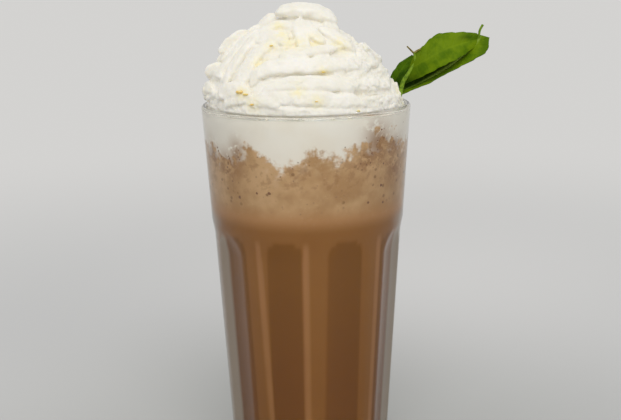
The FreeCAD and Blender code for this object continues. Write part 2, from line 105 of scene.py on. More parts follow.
def blend(low, high, value):
    """0 below low, 1 above high, and smooth between."""
    share = min(1.0, max(0.0, (value - low) / (high - low)))
    return share * share * (3.0 - 2.0 * share)


def between(first, second, share):
    """The first value where the share is 0, and the second where it is 1."""
    return first + (second - first) * share


def soft_least(first, second, softness):
    """The smaller of two values, rounded where they cross."""
    gap = max(softness - abs(first - second), 0.0) / softness
    return min(first, second) - gap * gap * softness * 0.25


def hill(distance, reach):
    """1 where the distance is 0, falling to 0 past the reach."""
    return math.exp(-((distance / reach) ** 2))


def wobble(point, size, seed):
    """Smooth noise from -1 to 1 whose features are about this many millimetres wide."""
    return noise.noise(Vector(point) / size + Vector((seed, 2.0 * seed, -seed)))


def around(azimuth, radius, height):
    """A point in millimetres at an azimuth in radians from the front, measured towards +X."""
    return Vector((radius * math.sin(azimuth), -radius * math.cos(azimuth), height))


def all_round(count):
    """Azimuths in degrees at even steps all round, from the back."""
    return [360.0 * step / count - 180.0 for step in range(count)]


def smooth_line(points, count):
    """Points along a smooth line through the given ones."""
    ends = [points[0] * 2.0 - points[1]] + list(points) + [points[-1] * 2.0 - points[-2]]
    spans = len(points) - 1
    found = []
    for step in range(count):
        place = spans * step / (count - 1)
        span = min(int(place), spans - 1)
        share = place - span
        before, start, end, after = ends[span:span + 4]
        pull = (end - before) * share
        bend = (before * 2.0 - start * 5.0 + end * 4.0 - after) * share**2
        twist = (start * 3.0 - before - end * 3.0 + after) * share**3
        found.append(start + (pull + bend + twist) * 0.5)
    return found


def run_at(line, row):
    """The way that a line of points runs at one of them."""
    return line[min(row + 1, len(line) - 1)] - line[max(row - 1, 0)]


def tube_faces(rings, columns, first=0):
    """Quads between neighbouring rings of points that go once round, and a face over each end."""
    faces = []
    for ring in range(rings - 1):
        low, high = first + ring * columns, first + (ring + 1) * columns
        for column in range(columns):
            following = (column + 1) % columns
            faces.append((low + column, low + following, high + following, high + column))
    for start in (first, first + (rings - 1) * columns):
        faces.append(tuple(range(start, start + columns)))
    return faces


def smooth_faces(mesh):
    for face in mesh.polygons:
        face.use_smooth = True


def tidy_normals(mesh):
    shape = bmesh.new()
    shape.from_mesh(mesh)
    bmesh.ops.recalc_face_normals(shape, faces=shape.faces)
    shape.to_mesh(mesh)
    shape.free()
    smooth_faces(mesh)


def make_object(name, points, faces):
    """A smooth mesh object from points in millimetres."""
    mesh = bpy.data.meshes.new(name)
    mesh.from_pydata([tuple(Vector(point) * MM) for point in points], [], faces)
    mesh.validate()
    tidy_normals(mesh)
    made = bpy.data.objects.new(name, mesh)
    bpy.context.scene.collection.objects.link(made)
    return made


def change_mesh(piece, kind, **settings):
    """Gives a piece a modifier's result for its mesh."""
    modifier = piece.modifiers.new(kind, kind)
    for name, value in settings.items():
        setattr(modifier, name, value)
    graph = bpy.context.evaluated_depsgraph_get()
    done = bpy.data.meshes.new_from_object(piece.evaluated_get(graph))
    old = piece.data
    piece.modifiers.clear()
    piece.data = done
    bpy.data.meshes.remove(old)
    smooth_faces(done)


def store_numbers(piece, **named):
    """Keeps numbers for each vertex, which a material reads by their names."""
    for name, values in named.items():
        layer = piece.data.attributes.new(name, "FLOAT", "POINT")
        layer.data.foreach_set("value", values)


def finish_piece(piece, material, slot, *nodes):
    """Puts a piece on the body with its material, and hides the nodes that it stands for. The slot is not
    used.
    """
    piece.data.materials.clear()
    piece.data.materials.append(material)
    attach(piece, BODY)
    if nodes:
        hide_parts(*nodes)


# ---- materials ----


def display(*parts):
    """A colour given as it looks on a screen, from 0 to 255, in the values that shaders take."""
    shares = [part / 255.0 for part in parts]
    found = [share / 12.92 if share <= 0.04045 else ((share + 0.055) / 1.055) ** 2.4 for share in shares]
    return (*found, 1.0)


class Nodes:
    """The nodes of a world or a material, made with short calls."""

    def __init__(self, owner, output):
        owner.use_nodes = True
        self.tree = owner.node_tree
        self.tree.nodes.clear()
        self.output = self.add(output)

    def add(self, kind, inputs=None, **settings):
        made = self.tree.nodes.new(kind)
        for name, value in settings.items():
            setattr(made, name, value)
        for name, value in (inputs or {}).items():
            self.feed(made.inputs[name], value)
        return made

    def feed(self, socket, value):
        if isinstance(value, bpy.types.NodeSocket):
            self.tree.links.new(value, socket)
        else:
            socket.default_value = value

    def show(self, made):
        self.feed(self.output.inputs["Surface"], made.outputs[0])

    def calculate(self, operation, first, second):
        return self.add("ShaderNodeMath", {0: first, 1: second}, operation=operation).outputs[0]

    def sum(self, *values):
        return reduce(lambda total, value: self.calculate("ADD", total, value), values)

    def times(self, *values):
        return reduce(lambda total, value: self.calculate("MULTIPLY", total, value), values)

    def mix(self, share, first, second):
        """The first colour where the share is 0, and the second where it is 1."""
        return self.add("ShaderNodeMix", {0: share, 6: first, 7: second}, data_type="RGBA").outputs[2]

    def layers(self, colour, *layers):
        """A colour under layers, each given by its share and its own colour."""
        return reduce(lambda under, layer: self.mix(layer[0], under, layer[1]), layers, colour)

    def mix_shaders(self, share, first, second):
        return self.add("ShaderNodeMixShader", {0: share, 1: first.outputs[0], 2: second.outputs[0]})


class Shader(Nodes):
    """A material's nodes. Textures work in metres, in the part's frame."""

    def __init__(self, name):
        self.material = bpy.data.materials.new(name)
        super().__init__(self.material, "ShaderNodeOutputMaterial")
        self.place = self.add("ShaderNodeTexCoord").outputs["Object"]

    def noise(self, size, detail=3.0, roughness=0.55):
        """Noise from 0 to 1 with features about this many millimetres wide."""
        inputs = {"Vector": self.place, "Scale": 1.0 / (size * MM), "Detail": detail, "Roughness": roughness}
        return self.add("ShaderNodeTexNoise", inputs).outputs["Fac"]

    def cells(self, size):
        """The distance to the nearest of scattered points, in units of the points' spacing."""
        inputs = {"Vector": self.place, "Scale": 1.0 / (size * MM)}
        return self.add("ShaderNodeTexVoronoi", inputs).outputs["Distance"]

    def dots(self, size, low, high):
        """1 in small dots about this many millimetres apart, and 0 between them."""
        return self.steps(self.cells(size), low, high, 1.0, 0.0)

    def steps(self, value, low, high, first=0.0, last=1.0):
        """first where the value is under low, last over high, and smooth between."""
        inputs = {"Value": value, "From Min": low, "From Max": high, "To Min": first, "To Max": last}
        made = self.add("ShaderNodeMapRange", inputs, interpolation_type="SMOOTHSTEP")
        return made.outputs["Result"]

    def mottled(self, tone, first, second):
        """The first colour with patches of the second where the noise is high."""
        return self.mix(self.steps(tone, 0.35, 0.65), first, second)

    def number(self, name):
        """The number that the mesh keeps under this name."""
        return self.add("ShaderNodeAttribute", attribute_name=name).outputs["Fac"]

    def level(self):
        """The height above the foot, in millimetres."""
        parts = self.add("ShaderNodeSeparateXYZ", {"Vector": self.place})
        return self.times(parts.outputs["Z"], 1.0 / MM)

    def facing(self):
        """0 where the surface is seen face on, and 1 where it is seen edge on."""
        return self.add("ShaderNodeLayerWeight", {"Blend": 0.5}).outputs["Facing"]

    def bump(self, height, strength, depth):
        """A normal roughened by a height from 0 to 1 that is this many millimetres deep."""
        inputs = {"Height": height, "Strength": strength, "Distance": depth * MM}
        return self.add("ShaderNodeBump", inputs).outputs["Normal"]

    def principled(self, **inputs):
        made = self.add("ShaderNodeBsdfPrincipled", {name.replace("_", " "): inputs[name] for name in inputs})
        self.show(made)
        return made


GLASS_COLOUR = (0.985, 0.99, 0.987, 1.0)
# A painted dark reflection, for where the glass is seen edge on.
GLASS_DARK_REFLECTION_COLOUR = (0.16, 0.17, 0.165, 1.0)
GLASS_SHADE = (0.96, 0.97, 0.965, 1.0)


def glass_material():
    """Clear pressed glass, with a painted dark reflection at its edges and frosted under its foot. Shadow
    rays pass, so that what is in the glass is lit.
    """
    shader = Shader("pressed_glass")
    # Painted dark reflection: the glass darkens where it is seen edge on, for the dark surroundings that its
    # edges show.
    edge = shader.steps(shader.facing(), 0.82, 0.98, 0.0, 0.8)
    glass = shader.principled(
        Base_Color=shader.mix(edge, GLASS_COLOUR, GLASS_DARK_REFLECTION_COLOUR),
        Roughness=shader.steps(shader.noise(3.0), 0.4, 0.8, 0.0, 0.02),
        IOR=1.5,
        Transmission_Weight=1.0,
        Normal=shader.bump(shader.noise(9.0, 2.0), 0.25, 0.25),
    )
    frost = shader.add("ShaderNodeBsdfDiffuse", {"Color": display(236, 238, 236)})
    frosted = shader.steps(shader.level(), FOOT_HOLLOW + 0.05, FOOT_HOLLOW + 0.3, 0.35, 0.0)
    clear = shader.add("ShaderNodeBsdfTransparent", {"Color": GLASS_SHADE})
    shadow = shader.add("ShaderNodeLightPath").outputs["Is Shadow Ray"]
    shader.show(shader.mix_shaders(shadow, shader.mix_shaders(frosted, glass, frost), clear))
    return shader.material


# The drink is lighter behind the lands and darker behind the flutes: painted light and painted shade,
# standing in for light that the lands of the glass gather onto it.
LAND_TOP_COLOUR = display(153, 102, 42)
LAND_DEEP_COLOUR = display(142, 91, 34)
FLUTE_TOP_COLOUR = display(135, 85, 14)
FLUTE_DEEP_COLOUR = display(124, 73, 12)
HIGHLIGHT_LINE_COLOUR = display(176, 124, 74)
SIDE_REFLECTION_COLOUR = display(178, 164, 148)
FROTH_COLOUR = display(215, 178, 132)
FROTH_DARK_COLOUR = display(190, 150, 102)
FROTH_FOOT_COLOUR = display(188, 137, 84)
FROTH_PALE_COLOUR = display(232, 206, 172)
CLUMP_COLOUR = display(160, 116, 72)
SPECK_COLOUR = display(120, 80, 44)
CREAM_COLOUR = display(254, 250, 239)
CREAM_WALL_COLOUR = display(251, 245, 231)


def drink_colour(shader, level, broad):
    """Brown, darker further down, with painted shade behind the flutes, painted highlight lines, and a pale
    painted reflection at the sides.
    """
    depth = shader.steps(level, 40.0, DRINK_LEVEL - 4.0, 1.0, 0.0)
    flute = shader.mix(depth, FLUTE_TOP_COLOUR, FLUTE_DEEP_COLOUR)
    land = shader.mix(depth, LAND_TOP_COLOUR, LAND_DEEP_COLOUR)
    # Painted highlight lines behind the lands, fainter further down.
    line = shader.times(shader.number("line"), shader.steps(depth, 0.0, 1.0, 0.85, 0.6))
    return shader.layers(
        shader.mix(shader.number("flute"), land, flute),
        (line, HIGHLIGHT_LINE_COLOUR),
        (shader.steps(broad, 0.4, 0.75, 0.0, 0.12), FLUTE_DEEP_COLOUR),
        # Painted reflection: the drink is paler where the wall is seen edge on, for the bright surroundings
        # that the flutes reflect.
        (shader.steps(shader.facing(), 0.25, 0.35, 0.0, 0.9), SIDE_REFLECTION_COLOUR),
    )


def froth_colour(shader, level, broad, lumps, rise):
    """Tan, browner at its foot, with pale swirls, dark streaks, bubbles and specks."""
    foot = shader.steps(level, DRINK_LEVEL - 2.0, DRINK_LEVEL + 9.0, 1.0, 0.0)
    swirls = shader.times(shader.steps(rise, -11.0, 0.0), shader.steps(lumps, 0.46, 0.66), 0.65)
    dark = shader.steps(shader.noise(3.4, 4.0, 0.65), 0.5, 0.62)
    streaks = shader.times(dark, shader.steps(level, DRINK_LEVEL + 6.0, DRINK_LEVEL + 18.0), 0.4)
    bubbles = shader.times(shader.dots(1.5, 0.10, 0.2), 0.2)
    where = shader.steps(shader.noise(8.0, 2.0), 0.44, 0.56)
    above = shader.steps(level, DRINK_LEVEL + 2.0, DRINK_LEVEL + 9.0)
    specks = shader.times(shader.dots(3.4, 0.15, 0.25), where, above, 0.55)
    return shader.layers(
        shader.mottled(broad, FROTH_COLOUR, FROTH_DARK_COLOUR),
        (foot, FROTH_FOOT_COLOUR),
        (swirls, FROTH_PALE_COLOUR),
        (streaks, CLUMP_COLOUR),
        (bubbles, FROTH_PALE_COLOUR),
        (specks, SPECK_COLOUR),
    )


def filling_material(name):
    """Drink, froth and cream where they lie against the wall.

    Froth gives way to cream, with a ragged edge, where "rise", the height above their boundary, is over 0.
    "clump" says where brown froth gathers, and "mottle" where froth and cream mix.
    """
    shader = Shader(name)
    level = shader.level()
    broad = shader.noise(15.0, 3.0)
    lumps = shader.noise(5.5, 3.0)
    fine = shader.noise(2.0, 4.0, 0.65)
    rise = shader.number("rise")

    ragged = shader.times(shader.calculate("SUBTRACT", fine, 0.5), 9.0)
    swirl = shader.times(shader.calculate("SUBTRACT", lumps, 0.5), 13.0)
    patchy = shader.times(shader.number("mottle"), shader.calculate("SUBTRACT", lumps, 0.46), 34.0)
    cream_share = shader.steps(shader.sum(rise, ragged, swirl, patchy), -2.4, 2.4)
    cream = shader.mix(shader.steps(broad, 0.35, 0.7), CREAM_COLOUR, CREAM_WALL_COLOUR)
    clump = shader.times(shader.number("clump"), shader.steps(shader.sum(fine, lumps), 0.82, 1.04), 0.85)
    drink_share = shader.steps(level, DRINK_LEVEL - 5.0, DRINK_LEVEL + 1.6, 1.0, 0.0)
    colour = shader.layers(
        froth_colour(shader, level, broad, lumps, rise),
        (cream_share, cream),
        (clump, CLUMP_COLOUR),
        (drink_share, drink_colour(shader, level, broad)),
    )
    bump = shader.bump(fine, 0.12, 0.12)
    shader.principled(Base_Color=colour, Roughness=0.6, Specular_IOR_Level=0.0, Normal=bump)
    return shader.material


def cream_material():
    """Whipped cream: pale and airy, with painted warm shade in its hollows, and pale yellow syrup where
    "syrup" is high.
    """
    shader = Shader("whipped_cream")
    tone = shader.steps(shader.noise(6.0, 4.0), 0.35, 0.7)
    patches = shader.times(shader.number("syrup"), shader.steps(shader.noise(2.4, 4.0), 0.3, 0.55), 0.75)
    colour = shader.layers(
        display(245, 241, 231),
        (tone, display(239, 235, 222)),
        # Painted warm shade, deeper where "hollow" says a point lies in a hollow.
        (shader.times(shader.number("hollow"), 0.85), display(243, 233, 205)),
        (patches, display(246, 235, 188)),
    )
    grain = shader.sum(shader.noise(0.9, 3.0), shader.times(shader.noise(3.0, 4.0), 1.5))
    shader.principled(
        Base_Color=colour,
        Roughness=0.55,
        Specular_IOR_Level=0.3,
        Subsurface_Weight=0.4,
        Subsurface_Radius=(1.0, 0.9, 0.7),
        Subsurface_Scale=1.6 * MM,
        Normal=shader.bump(grain, 0.3, 0.25),
    )
    return shader.material


def leaf_material(name, bright, dark):
    """A mint leaf. "vein" and "rib" lighten its veins and its bend, and "shade" paints shade into its folds
    and at its foot.
    """
    shader = Shader(name)
    tone = shader.noise(6.0, 3.0)
    colour = shader.layers(
        shader.mottled(tone, bright, dark),
        # Painted shade in the folds and towards the feet of the blades.
        (shader.times(shader.number("shade"), 0.9), display(20, 42, 0)),
        (shader.times(shader.number("vein"), 0.16), display(132, 156, 26)),
        (shader.number("rib"), display(152, 176, 82)),
    )
    quilting = shader.sum(shader.cells(1.3), shader.times(tone, 0.8))
    shader.principled(
        Base_Color=colour,
        Roughness=shader.steps(tone, 0.2, 0.8, 0.42, 0.6),
        Specular_IOR_Level=0.04,
        Normal=shader.bump(quilting, 0.3, 0.2),
    )
    return shader.material


def grained_material(name, bright, dark, grain, bump, **settings):
    """Two colours in patches of a size and detail, with a bump of a strength and depth that follows them."""
    shader = Shader(name)
    tone = shader.noise(*grain)
    colour = shader.mottled(tone, bright, dark)
    shader.principled(Base_Color=colour, Normal=shader.bump(tone, *bump), **settings)
    return shader.material


def stalk_material(name, bright, dark):
    settings = {"Roughness": 0.5, "Specular_IOR_Level": 0.25}
    return grained_material(name, bright, dark, (1.1, 3.0), (0.3, 0.15), **settings)


def crumb_material():
    settings = {"Roughness": 0.4, "Subsurface_Weight": 0.2, "Subsurface_Scale": 0.8 * MM}
    bright, dark = display(250, 224, 148), display(240, 202, 106)
    return grained_material("golden_crumbs", bright, dark, (0.8, 2.0), (0.4, 0.2), **settings)


def bits_material():
    bright, dark = display(150, 104, 66), display(116, 74, 42)
    return grained_material("chocolate_bits", bright, dark, (0.7, 2.0), (0.3, 0.2), Roughness=0.6)


# ---- the glass ----

GLASS_COLUMNS = 40 * FLUTE_COUNT
FOOT_STEPS = 7
LIP_STEPS = 12
FLOOR_STEPS = 8


def outer_radius(height):
    """The radius of the outside where no flute is cut."""
    upper = SHOULDER_RADIUS + (height - SHOULDER_HEIGHT) * UPPER_SLOPE
    lower = FOOT_RADIUS + height * LOWER_SLOPE
    return between(lower, upper, blend(LOWER_HEIGHT - 1.0, SHOULDER_HEIGHT + 1.0, height))


def fluted_radius(azimuth, height):
    """The outer radius with the flutes, each hollowed by a large cylinder whose ends curve away."""
    plain = outer_radius(height)
    start = FLUTE_BOTTOM + FLUTE_WIDTH / 2
    end = FLUTE_TOP - FLUTE_WIDTH / 2
    past = max(start - height, height - end, 0.0)
    arch = FLUTE_WIDTH**2 / 8 / FLUTE_DEPTH
    if past >= arch:
        return plain
    lift = arch - math.sqrt(arch**2 - past**2)
    cutter = 1.0 / (1.0 / arch - 1.0 / LOWER_RADIUS)
    spacing = 2.0 * math.pi / FLUTE_COUNT
    turn = (azimuth - math.radians(FLUTE_AZIMUTH) + spacing / 2) % spacing - spacing / 2
    middle = FOOT_RADIUS + height * LOWER_SLOPE - FLUTE_DEPTH + cutter
    inside = (cutter - lift) ** 2 - (middle * math.sin(turn)) ** 2
    if inside <= 0.0:
        return plain
    hollow = middle * math.cos(turn) - math.sqrt(inside)
    return soft_least(plain, hollow, FLUTE_SOFTNESS)


def inner_radius(height):
    """The radius of the inside, which narrows over the floor's fillet."""
    if height < LOWER_HEIGHT:
        share = (height - FLOOR_THICKNESS) / (LOWER_HEIGHT - FLOOR_THICKNESS)
        radius = between(INNER_FLOOR, INNER_SHOULDER, share)
    else:
        share = (height - LOWER_HEIGHT) / (GLASS_HEIGHT - LOWER_HEIGHT)
        radius = between(INNER_SHOULDER, INNER_RIM, share)
    drop = max(0.0, FLOOR_THICKNESS + FLOOR_FILLET - height)
    return radius - (FLOOR_FILLET - math.sqrt(max(0.0, FLOOR_FILLET**2 - drop**2)))


def banded(bands, end):
    """Levels up to the end, in bands. Each has the level that it starts at and how many levels it has."""
    stops = [start for start, _ in bands[1:]] + [end]
    levels = []
    for (start, count), stop in zip(bands, stops):
        levels.extend(start + (stop - start) * step / count for step in range(count))
    return levels


def foot_rings():
    """Pairs of radius and height from the hollow under the foot, over its edge, up to the wall."""
    stand = FOOT_RADIUS - 1.6 * FOOT_FILLET
    rings = [(0.6 * stand, FOOT_HOLLOW), (stand - 2.5, 0.9 * FOOT_HOLLOW)]
    rings += [(stand - 1.0, 0.3 * FOOT_HOLLOW), (stand, 0.0)]
    corner = FOOT_RADIUS + FOOT_FILLET * LOWER_SLOPE - FOOT_FILLET
    for step in range(FOOT_STEPS):
        angle = math.pi / 2 * step / FOOT_STEPS
        rings.append((corner + FOOT_FILLET * math.sin(angle), FOOT_FILLET * (1.0 - math.cos(angle))))
    return rings


def lip_rings(middle):
    """Pairs of radius and height over the rounded rim, from the outside to the inside."""
    half_wall = RIM_WALL / 2
    angles = [math.pi * step / LIP_STEPS for step in range(LIP_STEPS + 1)]
    centre = RIM_RADIUS - half_wall
    return [(centre + half_wall * math.cos(angle), middle + LIP_FILLET * math.sin(angle)) for angle in angles]


def make_glass():
    flute_end = FLUTE_WIDTH / 2
    lip_middle = GLASS_HEIGHT - LIP_FILLET
    outside = [
        (FOOT_FILLET, 2),
        (FLUTE_BOTTOM - 2.0, 20),
        (FLUTE_BOTTOM + flute_end, 14),
        (FLUTE_TOP - flute_end, 36),
        (SHOULDER_HEIGHT + 3.0, 8),
    ]
    inside = banded([(lip_middle - 0.5, 10), (LOWER_HEIGHT, 10)], FLOOR_THICKNESS + FLOOR_FILLET)
    for step in range(FLOOR_STEPS + 1):
        inside.append(FLOOR_THICKNESS + FLOOR_FILLET * (1.0 - math.sin(math.pi / 2 * step / FLOOR_STEPS)))

    points = []
    azimuths = [2.0 * math.pi * column / GLASS_COLUMNS for column in range(GLASS_COLUMNS)]

    def add_rings(rings):
        for radius, height in rings:
            points.extend(around(azimuth, radius, height) for azimuth in azimuths)

    add_rings(foot_rings())
    for height in banded(outside, lip_middle):
        points.extend(around(azimuth, fluted_radius(azimuth, height), height) for azimuth in azimuths)
    add_rings(lip_rings(lip_middle))
    add_rings([(inner_radius(height), height) for height in inside])
    add_rings([(INNER_FLOOR / 2, FLOOR_THICKNESS)])
    piece = make_object("glass_body", points, tube_faces(len(points) // GLASS_COLUMNS, GLASS_COLUMNS))
    finish_piece(piece, glass_material(), "glass", "glass")


# ---- what fills the glass ----

CREAM_LEVEL = 151.0
END_RINGS = 8
SHARP_ANGLE = 35.0
# How many columns of points each filling has round it, and how many levels.
DRINK_GRID = (540, 60)
FROTH_GRID = (360, 30)
CREAM_GRID = (360, 24)
# The waves of the boundary between froth and cream at the wall: azimuth, change of height, half width.
FROTH_WAVES = [
    (-56, -4.4, 15), (-34, 3.8, 7), (-14, -6.4, 9), (54, 11, 21), (105, -3.5, 18), (150, 4, 16),
    (-160, -3, 20), (-110, 3.5, 18),
]
# How the boundary looks at the wall differs from it in waves too, where cream has run down over the froth.
WALL_WAVES = [
    (20, -4.6, 9), (40, -2, 9), (64, -8, 14),
]
# Where brown froth gathers in clumps at the wall: azimuth, height, half width in degrees, half height.
CLUMPS = [
    (44, 151.5, 7, 6), (42, 153, 6, 6), (36, 147, 5, 3.5), (58, 150, 6, 3), (-42, 149, 4, 4),
    (-50, 144, 8, 4), (-66, 146, 6, 4), (60, 141, 6, 4), (100, 146, 8, 5), (160, 147, 9, 6),
    (-120, 147, 9, 6),
]
# Where froth and cream lie mixed in patches, given in the same way.
MOTTLED = [
    (50, 153, 16, 7), (-56, 148, 14, 5), (120, 150, 20, 6), (-150, 148, 22, 6),
]
# Larger specks of chocolate against the wall: azimuth, height and half length.
SPECKS = [
    (-43, 131.4, 0.8), (-22, 134.4, 0.9), (48, 135.1, 0.8), (38.5, 128.9, 0.7), (51, 127.6, 0.7),
    (77, 136.8, 0.7), (-30, 134, 0.6), (-58, 137, 0.6), (-96, 133, 0.8), (-140, 130, 0.7), (120, 134, 0.8),
    (165, 131, 0.7),
]
# The painted highlight line behind each land, which stands in for light that the land gathers, and how far it
# lies
# from the middle of the lands in front: each land's azimuth, and the degrees at the foot and at the flutes'
# top.
LINE_HALF_WIDTH = 1.4
# How many degrees round a land its shift reaches.
LINE_REACH = 16.0
LINE_SHIFTS = [
    (-35, 6.5, 2.5), (5, -6.2, -6.2), (45, 5.5, 5.5),
]


def degrees_between(first, second):
    return (first - second + 180.0) % 360.0 - 180.0


def waves_at(waves, azimuth):
    """The sum of waves round the wall at an azimuth in degrees."""
    found = 0.0
    for middle, change, half_width in waves:
        found += change * math.exp(-0.5 * (degrees_between(azimuth, middle) / half_width) ** 2)
    return found


def froth_top(azimuth, nearness=1.0):
    """The height of the froth's top, whose waves are full at the wall, where nearness is 1."""
    return CREAM_LEVEL + nearness**2 * waves_at(FROTH_WAVES, azimuth)


def nearness_to(spots, azimuth, height):
    """1 in the middle of any of these spots at the wall, falling to 0 round it."""
    found = 0.0
    for middle, level, half_width, half_height in spots:
        across = degrees_between(azimuth, middle) / half_width
        up = (height - level) / half_height
        found = max(found, math.exp(-0.5 * (across**2 + up**2)))
    return found


def flute_and_line(azimuth, height):
    """How far a point at the wall lies behind a flute, where the drink gets painted shade, and how near to a
    painted highlight line, from 0 to 1.
    """
    spacing = 360.0 / FLUTE_COUNT
    radius = outer_radius(height)

    def from_land(turn):
        return abs((turn - FLUTE_AZIMUTH) % spacing - spacing / 2)

    from_flute = math.radians(spacing / 2 - from_land(azimuth)) * radius
    half_width = FLUTE_WIDTH / 2
    past = max(FLUTE_BOTTOM + half_width - height, height - FLUTE_TOP + half_width, 0.0)
    reach = half_width * max(0.0, 1.0 - (past / half_width) ** 3) ** (1.0 / 3.0)
    flute = blend(-0.6, 0.8, reach - from_flute) if reach else 0.0
    shift = 0.0
    for land, at_foot, at_top in LINE_SHIFTS:
        here = at_foot + (at_top - at_foot) * height / FLUTE_TOP
        shift += here * hill(azimuth - land - here, LINE_REACH)
    from_line = math.radians(from_land(azimuth - shift)) * radius
    line = math.exp(-((from_line / LINE_HALF_WIDTH) ** 4)) * blend(0.0, half_width, reach)
    return flute, line


def make_filling(name, slot, node, bottom, top, columns, levels):
    """A plug that fills the glass between two heights, each a function of azimuth in degrees and nearness."""
    nearnesses = [ring / (END_RINGS + 1) for ring in range(1, END_RINGS + 1)]
    rings = [(0.0, nearness) for nearness in nearnesses]
    rings += [(level / levels, 1.0) for level in range(levels + 1)]
    rings += [(1.0, nearness) for nearness in reversed(nearnesses)]
    points = []
    # "flute" says where the drink gets painted shade behind a flute, and "line" where it gets a painted
    # highlight line.
    numbers = {"rise": [], "clump": [], "mottle": [], "flute": [], "line": []}
    for share, nearness in rings:
        for azimuth in all_round(columns):
            height = bottom(azimuth, nearness) * (1.0 - share) + top(azimuth, nearness) * share
            radius = nearness * (inner_radius(height) + FILL_REACH)
            points.append(around(math.radians(azimuth), radius, height))
            rise = height - froth_top(azimuth) - waves_at(WALL_WAVES, azimuth)
            clump, mottle = nearness_to(CLUMPS, azimuth, height), nearness_to(MOTTLED, azimuth, height)
            found = (rise, clump, mottle, *flute_and_line(azimuth, height))
            for values, value in zip(numbers.values(), found):
                values.append(value)
    piece = make_object(name, points, tube_faces(len(rings), columns))
    piece.data.set_sharp_from_angle(angle=math.radians(SHARP_ANGLE))
    store_numbers(piece, **numbers)
    finish_piece(piece, filling_material(name), slot, node)


def flat_at(height):
    return lambda azimuth, nearness: height


def make_fillings():
    floor, drink_top, seam = flat_at(FLOOR_THICKNESS), flat_at(DRINK_LEVEL), flat_at(SEAM_HEIGHT)
    make_filling("drink_fill", "drink", "drink", floor, drink_top, *DRINK_GRID)
    make_filling("froth_fill", "froth", "froth", drink_top, froth_top, *FROTH_GRID)
    make_filling("cream_in_glass", "cream", "whipped_cream", froth_top, seam, *CREAM_GRID)


# ---- whipped cream ----

# The heap above the rim: height over the rim, sideways shift of its middle, and radius over the ridges.
HEAP_PROFILE = [
    (0, -0.4, 40.9), (4, -1.2, 40.6), (8.5, -2, 38.8), (13, -2.4, 36.2), (18, -2.8, 32.2),
    (22.5, -3.2, 27.6), (27, -3.4, 22.4), (31, -3.2, 17.2), (33.5, -2.6, 12.6), (36, -1.8, 7),
    (37, -1.6, 3),
]
HEAP_TOP = HEAP_PROFILE[-1][0]
HEAP_COLUMNS = 360
HEAP_ROWS = 120
RIDGE_SPACING = 7.3
RIDGE_DEPTH = 2.9
STRIP_SIDES = 28
RIDGE_STEPS = 60
FOLD_STEPS = 48
CREAM_VOXEL = 0.44
CREAM_REACH = 43.6
CREAM_TOP = GLASS_HEIGHT + 41.8
SEAM_OVERLAP = 0.3
FOOT_REACH = inner_radius(SEAM_HEIGHT) - LIP_CLEARANCE / 2

# Ridges and fins on the heap. Each has the points of its middle line, as azimuth and height over the rim, its
# half width, its half thickness, and how far its middle stands off the heap.
RIDGES = [
    # level ridges across the front, from the top down
    ([(-14, 21.4), (0, 22.6), (18, 23.4), (38, 24)], 2.2, 1.3, 0.9),
    ([(-30, 11), (-27, 15.2), (-20, 17.4), (-8, 18.2), (8, 18.4), (24, 18.4), (44, 18), (60, 16.4)],
     3.7, 1.8, 0.5),
    ([(-22, 9.6), (-12, 11.4), (0, 12.2), (16, 11.8), (31, 10.6), (48, 9.8), (68, 8.6)], 3.1, 1.6, 0.7),
    ([(-36, 4.6), (-22, 6.6), (-8, 7), (8, 6.4), (20, 5.4), (34, 4.4), (50, 3.8), (70, 3.4)], 3, 1.6, 0.35),
    ([(-58, 1.8), (-40, 1.4), (-24, 2), (-8, 1.4), (10, 0.9), (30, 0.6), (52, 0.4), (76, 0.6)],
     2.4, 1.5, 0.1),
    # long ridges that climb the left side and bend over towards the top
    ([(-52, 9.5), (-51, 14.5), (-50.5, 20), (-50, 26), (-46, 30), (-36, 32.4), (-20, 32.8), (-2, 31.6)],
     2.9, 1.5, 0.7),
    ([(-40, 8.6), (-38, 13), (-37, 18), (-34, 22.5), (-27, 25.4), (-18, 26)], 3.2, 1.4, 0.5),
    ([(-66, 11.5), (-65, 17), (-65, 22.5), (-66, 28), (-64, 31)], 3.1, 1.4, 0.35),
    ([(-79, 17.6), (-81, 21.5), (-82, 26), (-78, 29.2)], 2.7, 1.2, 0.4),
    ([(-96, 15), (-98, 21), (-102, 27), (-108, 32)], 3.2, 1.4, 0.8),
    # curls at the left, over the rim
    ([(-90, 11), (-80, 13.4), (-70, 14.4), (-58, 13)], 2.4, 1, 0.9),
    ([(-98, 5.4), (-86, 7), (-74, 8.2), (-62, 7.4)], 2.3, 1, 0.9),
    ([(-58, 5.6), (-48, 8), (-38, 9), (-29, 8)], 3.2, 1, 1),
    ([(-48, 3.6), (-40, 5.6), (-31, 6)], 2.3, 0.9, 1.1),
    ([(-30, 4.4), (-20, 5.2), (-12, 4.4)], 2, 0.8, 1.3),
    # the neck under the top, the fold beside it, and a flat facet left of it
    ([(2, 35), (4, 31), (6, 27), (9, 24)], 3, 1.4, 0.8),
    ([(12, 34), (19, 29.6), (28, 26)], 2.6, 1.3, 0.8),
    ([(-44, 26.4), (-31, 28.8), (-17, 28), (-8, 25.8)], 3, 1.1, 0.8),
    # lumps on the right side
    ([(34, 32), (42, 29.4), (50, 26), (58, 22.4)], 3.4, 1.6, 0.6),
    ([(56, 21.4), (64, 18.8), (71, 16.6)], 3, 1.3, 0.5),
    ([(88, 24), (98, 20), (106, 15)], 3.2, 1.5, 0.7),
    ([(108, 8.6), (118, 7), (130, 4.6)], 2.8, 1.2, 0.8),
]

# Where small torn sheets lie: first and last azimuth, lowest and highest level, and how many. Each reaches
# into the heap by its root, so that no gap is left under it.
TORN_ZONES = [
    (14, 104, 2, 28, 62), (-62, 20, 0.5, 7.5, 34), (-106, -56, 3, 26, 30), (-56, 14, 20, 33, 16),
    (104, 254, 1, 32, 60),
]
SHEET_ROOT = 1.6
SHEET_STEPS = 18
SHEET_SEED = 19
